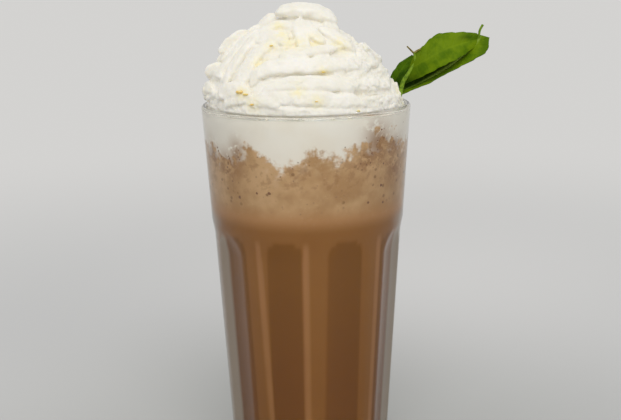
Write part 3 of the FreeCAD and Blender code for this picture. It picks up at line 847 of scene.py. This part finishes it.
# The least and the greatest half length, rise of the ends, sag, half width and lift off the heap.
SHEET_HALF_LENGTHS = (3.0, 6.5)
SHEET_CLIMBS = (-1.6, 1.6)
SHEET_SAGS = (-0.8, 0.8)
SHEET_HALF_WIDTHS = (1.0, 1.7)
SHEET_LIFTS = (0.35, 1.1)

# The flat end of the swirl, laid over the top, and what hangs from it. Each has the points of its middle line
# from the rim's centre, its half width, its half thickness, and the direction in which it is thin.
FOLDS = [
    ([(-12, -3, 37.4), (-7, -3.6, 38.6), (0, -4, 38.8), (6, -3.6, 37.4), (10.4, -3, 35.2), (13, -2.4, 32.8)],
     6.6, 2.5, (0.1, -0.22, 1)),
    ([(-4, 4, 37), (2, 4.6, 37), (8, 3.6, 34.2)], 5, 2.4, (0.1, 0.3, 1)),
    ([(-9, -2.6, 35), (0, -3.6, 35.4), (8, -2.8, 33.4)], 6.6, 2.2, (0.05, -0.6, 1)),
    ([(8.6, -6.6, 34.4), (10.8, -8.2, 31), (12.4, -8.8, 27.6)], 3.4, 1.7, (1, -0.8, 0.4)),
    ([(-19.5, 6, 29.5), (-17, 4.5, 33.4), (-12, 3, 36)], 3.6, 1.6, (-1, -0.3, 0.6)),
    # torn sheets that stand off the left side
    ([(-23, -3, 30.4), (-27.6, -4, 28.6), (-32.2, -4.6, 25.4), (-35.6, -4.8, 21.6)],
     1.9, 0.9, (0.2, -1, 0.1)),
    ([(-33, -9, 16.6), (-37.6, -8.6, 15.8), (-41.2, -7.6, 13)], 2, 0.8, (0.1, -1, 0.3)),
    ([(-36, -11, 8.4), (-40, -10, 7.6), (-42.8, -9, 4.8)], 1.9, 0.8, (0.1, -1, 0.3)),
]

# Golden crumbs on the front of the cream: distance right of the axis, height above the rim, half length.
CRUMBS = [
    (-25.6, 9, 1.6), (-23.4, 8.2, 1.1), (-20.8, 4.6, 0.9), (7, 16.4, 0.8), (20.4, 1.4, 0.8), (4.2, 6, 0.6),
    (-13.4, 26, 0.8),
]
# Pale syrup in the hollows, given in the same way with the radius of each patch.
SYRUP = [
    (-25, 8.8, 3), (-20.8, 4.6, 2.8), (7, 16.4, 2.2), (4.2, 6, 2.6), (-13.4, 26, 3), (-8.8, 30.4, 3.2),
    (-6.6, 27.4, 3.6), (-3, 26.6, 3.6), (3.4, 27, 3.6), (-11, 33.4, 2.8), (-18, 19, 3), (14, 26, 3.6),
    (-3, 9.6, 3),
]
# How many crumbs and patches lie round the sides and back, the seed, and the least and the greatest size.
# Then the azimuths and the levels that they lie between.
CRUMBS_BEHIND = (10, 41, 0.6, 1.3)
SYRUP_BEHIND = (12, 43, 2.0, 4.5)
BEHIND_AZIMUTHS = (70.0, 290.0)
BEHIND_LEVELS = (2.0, 33.0)
CRUMB_THIN_WAY = Vector((0.0, 0.3, 1.0)).normalized()
HOLLOW_PASSES = 12
# A distance from the axis at which every point is outside the cream.
OUTSIDE = 80.0


def heap_ring(height):
    """The sideways shift and the radius of the heap at a height over the rim."""
    for (low, low_shift, low_radius), (high, high_shift, high_radius) in zip(HEAP_PROFILE, HEAP_PROFILE[1:]):
        if height <= high:
            share = max(0.0, (height - low) / (high - low))
            return between(low_shift, high_shift, share), between(low_radius, high_radius, share)
    return HEAP_PROFILE[-1][1:]


def heap_place(azimuth, level, stand_off):
    """A point this far off the heap, and the heap's outward direction there."""
    shift, radius = heap_ring(level)
    _, above = heap_ring(level + 0.8)
    _, below = heap_ring(level - 0.8)
    out = around(math.radians(azimuth), 1.0, (below - above) / 1.6).normalized()
    place = around(math.radians(azimuth), radius, GLASS_HEIGHT + level) + out * stand_off
    place.x += shift
    return place, out


def ridge(place, azimuth):
    """The ridged skin's distance above its valleys, from 0 to 1, with rounded crests and narrow valleys."""
    warp = 0.30 * wobble(place, 13.0, 3.0) + 0.16 * wobble(place, 6.0, 5.0)
    phase = (place.z - GLASS_HEIGHT) / RIDGE_SPACING - 2.0 * azimuth / 360.0 + warp
    across = abs(2.0 * (phase % 1.0) - 1.0)
    return 1.0 - across**2.6


def make_heap(points, faces):
    """The heap's body. It is ridged round the back, and plainer in front, where it carries the ridges."""
    azimuths = all_round(HEAP_COLUMNS)
    angles = [math.radians(azimuth) for azimuth in azimuths]
    for height in (SEAM_HEIGHT - 1.0, GLASS_HEIGHT):
        points.extend(around(angle, FOOT_REACH, height) for angle in angles)
    for row in range(HEAP_ROWS + 1):
        level = HEAP_TOP * row / HEAP_ROWS
        shift, radius = heap_ring(level)
        for azimuth, angle in zip(azimuths, angles):
            place = around(angle, radius, GLASS_HEIGHT + level)
            depth = RIDGE_DEPTH * (0.8 + 0.5 * wobble(place, 11.0, 9.0)) * blend(4.0, 13.0, radius)
            depth *= 0.4 + 0.6 * blend(75.0, 115.0, abs(azimuth))
            sink = depth * (1.0 - ridge(place, azimuth))
            fall = 0.5 * sink * blend(3.0, 12.0, level)
            place = around(angle, radius - 0.8 * sink, GLASS_HEIGHT + level - fall)
            place.x += shift
            points.append(place)
    faces.extend(tube_faces(HEAP_ROWS + 3, HEAP_COLUMNS))


def squared(value):
    """Widens a round outline towards a square one, for flatter strips."""
    return math.copysign(abs(value) ** 0.72, value)


def add_strip(points, faces, middles, thin_ways, half_width, half_thickness):
    """Adds a flattened strip along a line, with rounded ends and an uneven edge."""
    rows = len(middles)
    first = len(points)
    for row, (middle, thin_way) in enumerate(zip(middles, thin_ways)):
        run = run_at(middles, row).normalized()
        thin = (thin_way - run * thin_way.dot(run)).normalized()
        wide = run.cross(thin)
        share = row / (rows - 1)
        ends = math.sqrt(max(0.04, 1.0 - abs(2.0 * share - 1.0) ** 3.0))
        for side in range(STRIP_SIDES):
            angle = 2.0 * math.pi * side / STRIP_SIDES
            offset = wide * (half_width * squared(math.cos(angle)))
            offset += thin * (half_thickness * squared(math.sin(angle)))
            uneven = 1.0 + 0.2 * wobble(middle + offset, 5.0, 21.0)
            points.append(middle + offset * (ends * uneven))
    faces.extend(tube_faces(rows, STRIP_SIDES, first))


def add_ridge(points, faces, line, half_width, half_thickness, stand_off, steps=RIDGE_STEPS):
    """Adds a strip that follows the heap along a line of azimuths and levels."""
    marks = smooth_line([Vector((azimuth, level, 0.0)) for azimuth, level in line], steps)
    middles, outs = zip(*(heap_place(mark.x, mark.y, stand_off) for mark in marks))
    add_strip(points, faces, middles, outs, half_width, half_thickness)


def add_torn_sheets(points, faces):
    """Small thin sheets of cream, which lie along the swirl and lift off it a little."""
    chance = random.Random(SHEET_SEED)
    for first, last, low, high, count in TORN_ZONES:
        for _ in range(count):
            turn, level = chance.uniform(first, last), chance.uniform(low, high)
            _, radius = heap_ring(level)
            reach = math.degrees(chance.uniform(*SHEET_HALF_LENGTHS) / max(radius, 8.0))
            climb, sag = chance.uniform(*SHEET_CLIMBS), chance.uniform(*SHEET_SAGS)
            line = [(turn - reach, level - climb), (turn, level + sag), (turn + reach, level + climb)]
            half_width = chance.uniform(*SHEET_HALF_WIDTHS)
            stand_off = chance.uniform(*SHEET_LIFTS) - SHEET_ROOT
            add_ridge(points, faces, line, half_width, SHEET_ROOT, stand_off, SHEET_STEPS)


def add_fold(points, faces, line, half_width, half_thickness, thin_way):
    """Adds a strip along a line of points from the rim's centre."""
    start = Vector((0.0, 0.0, GLASS_HEIGHT))
    middles = smooth_line([start + Vector(point) for point in line], FOLD_STEPS)
    add_strip(points, faces, middles, [Vector(thin_way)] * len(middles), half_width, half_thickness)


def flakes(place, size, seed):
    """Noise from -0.5 to 0.5 in flat patches with sharp steps between them."""
    spots = noise.voronoi(Vector(place) / size + Vector((seed, seed, seed)))
    nearest = spots[1][0]
    return 0.5 * noise.noise(nearest * 3.7)


def roughen(piece):
    """Presses a grain into the skin of the cream, which is torn into flakes at the right and the foot."""
    normals = [vertex.normal.copy() for vertex in piece.data.vertices]
    for vertex, normal in zip(piece.data.vertices, normals):
        place = vertex.co / MM
        over_rim = place.z - GLASS_HEIGHT
        torn = blend(6.0, 26.0, place.x) * blend(35.0, 26.0, over_rim)
        torn = max(torn, 0.7 * blend(10.0, 3.0, over_rim), 0.25)
        smooth = 0.34 * wobble(place, 5.0, 11.0) + 0.2 * wobble(place, 2.2, 13.0)
        smooth += 0.12 * wobble(place, 1.1, 17.0)
        jagged = 1.5 * flakes(place, 4.2, 23.0) + 1.1 * flakes(place, 2.0, 29.0)
        place += normal * (smooth + torn * jagged)
        limit = FOOT_REACH if place.z < GLASS_HEIGHT + LIP_CLEARANCE else CREAM_REACH
        place.z = min(place.z, CREAM_TOP)
        reach = math.hypot(place.x, place.y)
        if reach > limit:
            place.x *= limit / reach
            place.y *= limit / reach
        vertex.co = place * MM


def cut_foot(piece):
    """Cuts the heap level where it meets the cream in the glass."""
    shape = bmesh.new()
    shape.from_mesh(piece.data)
    everything = [*shape.verts, *shape.edges, *shape.faces]
    level = (0.0, 0.0, (SEAM_HEIGHT - SEAM_OVERLAP) * MM)
    up = (0.0, 0.0, 1.0)
    cut = bmesh.ops.bisect_plane(shape, geom=everything, plane_co=level, plane_no=up, clear_inner=True)
    edges = [item for item in cut["geom_cut"] if isinstance(item, bmesh.types.BMEdge)]
    bmesh.ops.holes_fill(shape, edges=edges)
    shape.to_mesh(piece.data)
    shape.free()


def smoothed_places(piece, passes):
    """The places of the piece's points after they have been evened out, in metres."""
    copy = piece.copy()
    copy.data = piece.data.copy()
    bpy.context.scene.collection.objects.link(copy)
    change_mesh(copy, "SMOOTH", iterations=passes)
    places = [vertex.co.copy() for vertex in copy.data.vertices]
    mesh = copy.data
    bpy.data.objects.remove(copy)
    bpy.data.meshes.remove(mesh)
    return places


def make_swirl():
    points, faces = [], []
    make_heap(points, faces)
    for shape in RIDGES:
        add_ridge(points, faces, *shape)
    for shape in FOLDS:
        add_fold(points, faces, *shape)
    add_torn_sheets(points, faces)
    piece = make_object("piped_cream", points, faces)
    change_mesh(piece, "REMESH", mode="VOXEL", voxel_size=CREAM_VOXEL * MM)
    change_mesh(piece, "SMOOTH", iterations=1)
    roughen(piece)
    cut_foot(piece)
    tidy_normals(piece.data)
    return piece


def surface_tree(piece):
    points = [vertex.co for vertex in piece.data.vertices]
    faces = [tuple(face.vertices) for face in piece.data.polygons]
    return BVHTree.FromPolygons(points, faces)


def on_front(tree, across, above):
    """Where a line from the front meets the cream, and the skin's direction there."""
    start = Vector((across, -OUTSIDE, GLASS_HEIGHT + above)) * MM
    found = tree.ray_cast(start, Vector((0.0, 1.0, 0.0)))
    return found[0] / MM, found[1]


def scattered(tree, count, seed, low, high):
    """Places all round the sides and back of the cream, each with a size between low and high."""
    chance = random.Random(seed)
    places = []
    while len(places) < count:
        azimuth = math.radians(chance.uniform(*BEHIND_AZIMUTHS))
        start = around(azimuth, OUTSIDE, GLASS_HEIGHT + chance.uniform(*BEHIND_LEVELS)) * MM
        found = tree.ray_cast(start, -around(azimuth, 1.0, 0.0))
        if found[0] is not None:
            places.append((found[0] / MM, found[1], chance.uniform(low, high)))
    return places


def make_lumps(name, lumps, material, slot):
    """A piece of uneven lumps. Each has its middle, its size, a seed, and the way in which it is thinner."""
    points, faces = [], []
    shape = bmesh.new()
    bmesh.ops.create_icosphere(shape, subdivisions=2, radius=1.0)
    for middle, size, seed, thin_way in lumps:
        first = len(points)
        for vertex in shape.verts:
            place = vertex.co * (1.0 + 0.35 * noise.noise(vertex.co * 1.6 + Vector((seed, 0.0, seed))))
            place -= thin_way * place.dot(thin_way) * 0.6
            points.append(middle + place * size)
        faces.extend(tuple(first + corner.index for corner in face.verts) for face in shape.faces)
    shape.free()
    finish_piece(make_object(name, points, faces), material, slot)


def mark_syrup_and_hollows(piece, tree):
    """Keeps how near each point is to the syrup, and how deep it lies in a hollow."""
    patches = [(*on_front(tree, across, above), radius) for across, above, radius in SYRUP]
    patches += scattered(tree, *SYRUP_BEHIND)
    syrup, hollow = [], []
    for vertex, even_place in zip(piece.data.vertices, smoothed_places(piece, HOLLOW_PASSES)):
        place = vertex.co / MM
        sunk = (even_place / MM - place).dot(vertex.normal)
        hollow.append(blend(0.05, 0.7, sunk))
        syrup.append(max(hill((place - middle).length, radius) for middle, _, radius in patches))
    store_numbers(piece, syrup=syrup, hollow=hollow)


def make_crumbs(tree):
    crumbs = [(*on_front(tree, across, above), size) for across, above, size in CRUMBS]
    crumbs += scattered(tree, *CRUMBS_BEHIND)
    lumps = []
    for number, (middle, normal, size) in enumerate(crumbs):
        lumps.append((middle + normal * 0.05 * size, size, 1.7 * number, CRUMB_THIN_WAY))
    make_lumps("golden_crumbs", lumps, crumb_material(), "cream")


def make_cream():
    piece = make_swirl()
    tree = surface_tree(piece)
    mark_syrup_and_hollows(piece, tree)
    finish_piece(piece, cream_material(), "cream", "whipped_cream")
    make_crumbs(tree)


# ---- bits in the froth ----

BITS_SEED = 7
LOOSE_BITS = 110
LOOSE_BITS_FROM = 126.0
BITS_TOP = SEAM_HEIGHT - 3.0


def bit_places():
    """The azimuth, height and size of each brown bit: in the clumps, the larger specks, and loose ones."""
    chance = random.Random(BITS_SEED)
    places = []
    for middle, level, half_width, half_height in CLUMPS:
        for _ in range(int(1.2 * half_width)):
            azimuth = chance.gauss(middle, half_width * 0.8)
            height = chance.gauss(level, half_height * 0.8)
            places.append((azimuth, height, chance.uniform(0.2, 0.55)))
    places += SPECKS
    for _ in range(LOOSE_BITS):
        azimuth = chance.uniform(-180.0, 180.0)
        height = chance.uniform(LOOSE_BITS_FROM, froth_top(azimuth))
        places.append((azimuth, height, chance.uniform(0.15, 0.34)))
    return places


def make_bits():
    """Brown bits of froth and chocolate against the inside of the wall."""
    lumps = []
    for number, (azimuth, height, size) in enumerate(bit_places()):
        height = min(height, BITS_TOP)
        angle = math.radians(azimuth)
        radius = inner_radius(height) + FILL_REACH - 0.25 * size
        lumps.append((around(angle, radius, height), size, 0.9 * number, around(angle, 1.0, 0.0)))
    make_lumps("froth_bits", lumps, bits_material(), "froth")


# ---- mint ----

# Where the sprig leaves the cream. The lines of its stems and of its leaves' edges are measured from there.
SPRIG = Vector((41.9, 5.0, GLASS_HEIGHT))
LEAF_THICKNESS = 0.45
BLADE_ROWS = 120
HALF_BLADE_COLUMNS = 26
STALK_ROWS = 30
STALK_SIDES = 16
STEM_LINE = [
    (-5, 0, -3), (-2.4, 0, 1), (-1.3, 1, 4.2), (-0.2, 1.5, 7.8), (2.1, 1.5, 11.5), (4.5, 2, 15.8),
    (4.2, 2, 20),
]
TWIG_LINES = [
    [(4.2, 2, 19.6), (2.9, 1.6, 20.8), (1.1, 1, 22.6)],
    [(4.2, 2, 19.6), (5.6, 2.2, 20.6), (7.2, 2.6, 21.4)],
]
STALK_LINE = [(32.2, 5.5, 25.2), (32.4, 5.3, 28.4), (33.6, 5, 31)]
BACK_BLADE = {
    "lower": [(-1.6, 1.6, 1.9), (8.6, 2, 5.8), (21.4, 1.2, 12.6), (34.3, 2, 19.3), (36.6, 5, 25.4)],
    "bend": [(-1.4, 2.4, 3), (8.3, 5, 6.8), (20.5, 5, 13.6), (30.2, 5, 22.4), (33.3, 5.6, 26.4)],
    "upper": [(-1.6, 3.4, 6.4), (6, 7, 12), (14, 8, 20), (22, 7.2, 25), (30, 6.2, 27.4)],
}
FRONT_BLADE = {
    "lower": [(-0.6, 1.6, 6.1), (7.7, -0.3, 9.9), (16.4, -0.8, 14.3), (24, 0.8, 17.8), (31.2, 5.2, 22.2)],
    "bend": [(1.9, 1.9, 12.7), (9, 0.6, 16.6), (16.6, 1.4, 20.6), (24, 3.4, 23), (31.2, 5.3, 24.8)],
    "upper": [(4.4, 2.2, 19.3), (7.9, 4, 22), (14, 5.3, 27), (23.4, 5.8, 27.9), (31.2, 5.4, 27.4)],
}
SIDE_BLADE = {
    "lower": [(-3.3, 3.6, 4), (-6.6, 6, 5.8), (-4.4, 7, 10.5), (-1.2, 6.6, 15.2), (3.6, 3.4, 18.6)],
    "bend": [(-2.6, 2.4, 4.2), (-3.6, 4, 7), (-1.6, 4.6, 11), (1.2, 4.4, 15), (4, 2.8, 18.4)],
    "upper": [(-1.9, 1.2, 4.4), (-0.8, 2, 7.8), (1.6, 2.2, 11.6), (3.6, 2.4, 15.2), (4.4, 2.2, 18.2)],
}


# Each blade's teeth, its pairs of side veins, and how strongly its rib shows.
BACK_DETAIL = (9, 8, 0.8)
FRONT_DETAIL = (7, 8, 0.0)
SIDE_DETAIL = (5, 6, 0.0)
# The radius of each stem at its first and at its last end.
STEM_RADII = (1.3, 0.45)
STALK_RADII = (0.45, 0.5)
TWIG_RADII = (0.42, 0.28)


def sprig_line(points, count):
    return smooth_line([SPRIG + Vector(point) for point in points], count)


def saw(value):
    """A tooth that leans towards the tip, from 0 to 1."""
    share = value % 1.0
    return share / 0.75 if share < 0.75 else (1.0 - share) / 0.25


def vein_at(share, part, pairs):
    """1 on the middle vein or a side vein, and 0 between them."""
    if part <= 0.04:
        return 1.0
    slant = share * pairs - 0.9 * part
    return max(0.0, 1.0 - abs(slant - round(slant)) / 0.13) * blend(1.0, 0.82, part)


def make_blade(name, edges, detail, shade_at, material, node):
    """A leaf's blade, folded along its bend, with a toothed margin and sunk veins."""
    teeth, vein_pairs, rib_share = detail
    lower, bend, upper = (sprig_line(edges[edge], BLADE_ROWS) for edge in ("lower", "bend", "upper"))
    points, veins, shades, ribs = [], [], [], []
    for row in range(BLADE_ROWS):
        share = row / (BLADE_ROWS - 1)
        run = run_at(bend, row).normalized()
        bulge = math.sin(math.pi * share)
        for column in range(-HALF_BLADE_COLUMNS, HALF_BLADE_COLUMNS + 1):
            side = column / HALF_BLADE_COLUMNS
            part = abs(side)
            width = (lower[row] if side < 0.0 else upper[row]) - bend[row]
            tooth = 0.45 * (saw(share * teeth) - 0.6) * blend(0.8, 1.0, part) * bulge
            place = bend[row] + width * part + width.normalized() * tooth
            normal = width.cross(run).normalized() * (1.0 if side < 0.0 else -1.0)
            if normal.y > 0:
                normal = -normal
            vein = vein_at(share, part, vein_pairs)
            puff = 0.2 * (1.0 - vein) * math.sin(math.pi * min(1.0, part * 1.05))
            ripple = 0.35 * wobble(place, 5.0, 19.0) * part
            points.append(place + normal * (puff + ripple))
            veins.append(vein * (1.0 if part < 0.05 else 0.55))
            shades.append(shade_at(share, side))
            ribs.append(rib_share * hill(side, 0.09) * bulge**0.5)
    columns = 2 * HALF_BLADE_COLUMNS + 1
    faces = []
    for row in range(BLADE_ROWS - 1):
        for corner in range(row * columns, (row + 1) * columns - 1):
            faces.append((corner, corner + 1, corner + columns + 1, corner + columns))
    piece = make_object(name, points, faces)
    store_numbers(piece, vein=veins, shade=shades, rib=ribs)
    change_mesh(piece, "SOLIDIFY", thickness=LEAF_THICKNESS * MM, offset=0.0)
    finish_piece(piece, material, "mint_leaf", node)


def make_stalk(name, lines, radii, material, slot, node):
    """Stems as round tubes along the lines."""
    points, faces = [], []
    across = Vector((0.0, 1.0, 0.0))
    for line in lines:
        middles = sprig_line(line, STALK_ROWS)
        faces.extend(tube_faces(STALK_ROWS, STALK_SIDES, len(points)))
        for row, middle in enumerate(middles):
            share = row / (STALK_ROWS - 1)
            outward = run_at(middles, row).cross(across).normalized()
            radius = between(*radii, share)
            for side in range(STALK_SIDES):
                angle = 2.0 * math.pi * side / STALK_SIDES
                uneven = 1.0 + 0.12 * math.cos(3.0 * angle + 2.0 * share)
                offset = outward * math.cos(angle) + across * math.sin(angle)
                points.append(middle + offset * (radius * uneven))
    finish_piece(make_object(name, points, faces), material, slot, node)


def back_shade(share, side):
    """How much painted shade darkens a fold, by the share of the blade's length and the side of its bend,
    from -1 to 1.
    """
    return blend(0.06, 0.16, side) * blend(0.9, 0.66, share)


# Painted shade at the front blade's foot, most on its lower side, and in a fold near its tip on its upper
# half.
def front_shade(share, side):
    foot = 0.75 * blend(0.35, 0.0, share) * blend(-0.3, -1.0, side) + 0.3 * blend(0.5, 0.0, share)
    return foot + 0.5 * hill(share - 0.84, 0.1) * hill(side - 0.45, 0.22)


# Painted shade towards the side blade's foot.
def side_shade(share, _):
    return 0.45 * blend(0.7, 0.0, share)


def make_mint():
    large = leaf_material("mint_large", display(104, 130, 10), display(76, 106, 6))
    # The small leaf's greens are a darker copy of the large leaf's: painted shade, as that leaf lies in
    # shade.
    small = leaf_material("mint_small_shaded", display(70, 102, 8), display(44, 72, 4))
    green = stalk_material("green_stem", display(126, 156, 30), display(88, 118, 10))
    brown = stalk_material("brown_twig", display(142, 132, 62), display(104, 84, 34))
    make_blade("mint_back_blade", BACK_BLADE, BACK_DETAIL, back_shade, large, "mint_leaf_large")
    make_blade("mint_front_blade", FRONT_BLADE, FRONT_DETAIL, front_shade, large, "mint_leaf_large")
    make_blade("mint_side_blade", SIDE_BLADE, SIDE_DETAIL, side_shade, small, "mint_leaf_small")
    make_stalk("sprig_stem", [STEM_LINE], STEM_RADII, green, "mint_stem", "mint_stem")
    make_stalk("sprig_stalk", [STALK_LINE], STALK_RADII, green, "mint_leaf", "mint_leaf_large")
    make_stalk("sprig_twigs", TWIG_LINES, TWIG_RADII, brown, "mint_stem", "mint_stem")


# ---- the studio ----

FLOOR_REACH = 12000.0
# Painted pools of light on the floor: where, how far they reach, and how light they are.
FLOOR_LIGHT_POOLS = [((90.0, 280.0), 290.0, 0.6), ((-150.0, 70.0), 160.0, 0.25)]
# What the camera sees past the floor's edge, at the world's strength, so that the two meet unseen.
HORIZON_COLOUR = (0.935, 0.935, 0.915, 1.0)
WHITE = (1.0, 1.0, 1.0, 1.0)
WORLD_STRENGTH = 0.70
SUN_STRENGTH = 1.12
SUN_WIDTH = 40.0
SUN_TILT = 40.0
SUN_TURN = 3.0
CAMERA_PLACE = (1.34, -450.0, 226.2)
CAMERA_DIP = 13.47
CAMERA_ROLL = -0.75
CAMERA_LENS = 62.06
CAMERA_SENSOR = 36.0


def make_floor():
    """A pale floor, darkened towards the glass by painted shade, with painted pools of light, and lighter far
    off, where it makes the background.
    """
    corners = [(x * FLOOR_REACH, y * FLOOR_REACH, 0.0) for x, y in ((-1, -1), (1, -1), (1, 1), (-1, 1))]
    floor = make_object("studio_floor", corners, [(0, 1, 2, 3)])
    shader = Shader("studio_floor")

    def away_from(middle):
        inputs = {0: shader.place, 1: Vector((*middle, 0.0)) * MM}
        return shader.add("ShaderNodeVectorMath", inputs, operation="DISTANCE").outputs["Value"]

    distance = away_from((0.0, 0.0))
    far = display(214, 213, 211)
    # Painted shade darkens the floor towards the glass, and it grows lighter far off.
    colour = shader.mix(shader.steps(distance, 0.03, 0.28), display(180, 181, 178), display(193, 193, 192))
    colour = shader.mix(shader.steps(distance, 0.12, 0.85), colour, far)
    # Painted pools of light, lightening the floor round each middle.
    for middle, reach, share in FLOOR_LIGHT_POOLS:
        colour = shader.mix(shader.steps(away_from(middle), 0.0, reach * MM, share, 0.0), colour, far)
    shader.principled(Base_Color=colour, Roughness=0.9, Specular_IOR_Level=0.0)
    floor.data.materials.append(shader.material)


def make_lights():
    """White light from all round and a soft sun. What is seen past the floor has the horizon's colour."""
    world = bpy.data.worlds.new("studio")
    bpy.context.scene.world = world
    sky = Nodes(world, "ShaderNodeOutputWorld")
    rays = sky.add("ShaderNodeLightPath").outputs
    seen = sky.calculate("MAXIMUM", rays["Is Camera Ray"], rays["Is Glossy Ray"])
    seen = sky.calculate("MAXIMUM", seen, rays["Is Transmission Ray"])
    colour = sky.mix(seen, WHITE, HORIZON_COLOUR)
    sky.show(sky.add("ShaderNodeBackground", {"Color": colour, "Strength": WORLD_STRENGTH}))

    sun = bpy.data.lights.new("key", "SUN")
    sun.energy = SUN_STRENGTH
    sun.angle = math.radians(SUN_WIDTH)
    lamp = bpy.data.objects.new("key", sun)
    lamp.rotation_euler = Euler((math.radians(SUN_TILT), 0.0, math.radians(SUN_TURN)))
    bpy.context.scene.collection.objects.link(lamp)


def make_camera():
    """The picture's viewpoint: a little above the cream, 450 mm in front of the glass's axis."""
    camera = bpy.data.cameras.new("camera")
    camera.sensor_width = CAMERA_SENSOR
    camera.lens = CAMERA_LENS
    camera.clip_start = 0.01
    camera.clip_end = 100.0
    made = bpy.data.objects.new("camera", camera)
    tilt = Matrix.Rotation(math.radians(90.0 - CAMERA_DIP), 4, "X")
    roll = Matrix.Rotation(math.radians(CAMERA_ROLL), 4, "Z")
    made.matrix_world = Matrix.Translation(Vector(CAMERA_PLACE) * MM) @ tilt @ roll
    bpy.context.scene.collection.objects.link(made)
    bpy.context.scene.camera = made


make_glass()
make_fillings()
make_cream()
make_bits()
make_mint()
make_floor()
make_lights()
make_camera()
bpy.context.scene.view_settings.view_transform = "Standard"
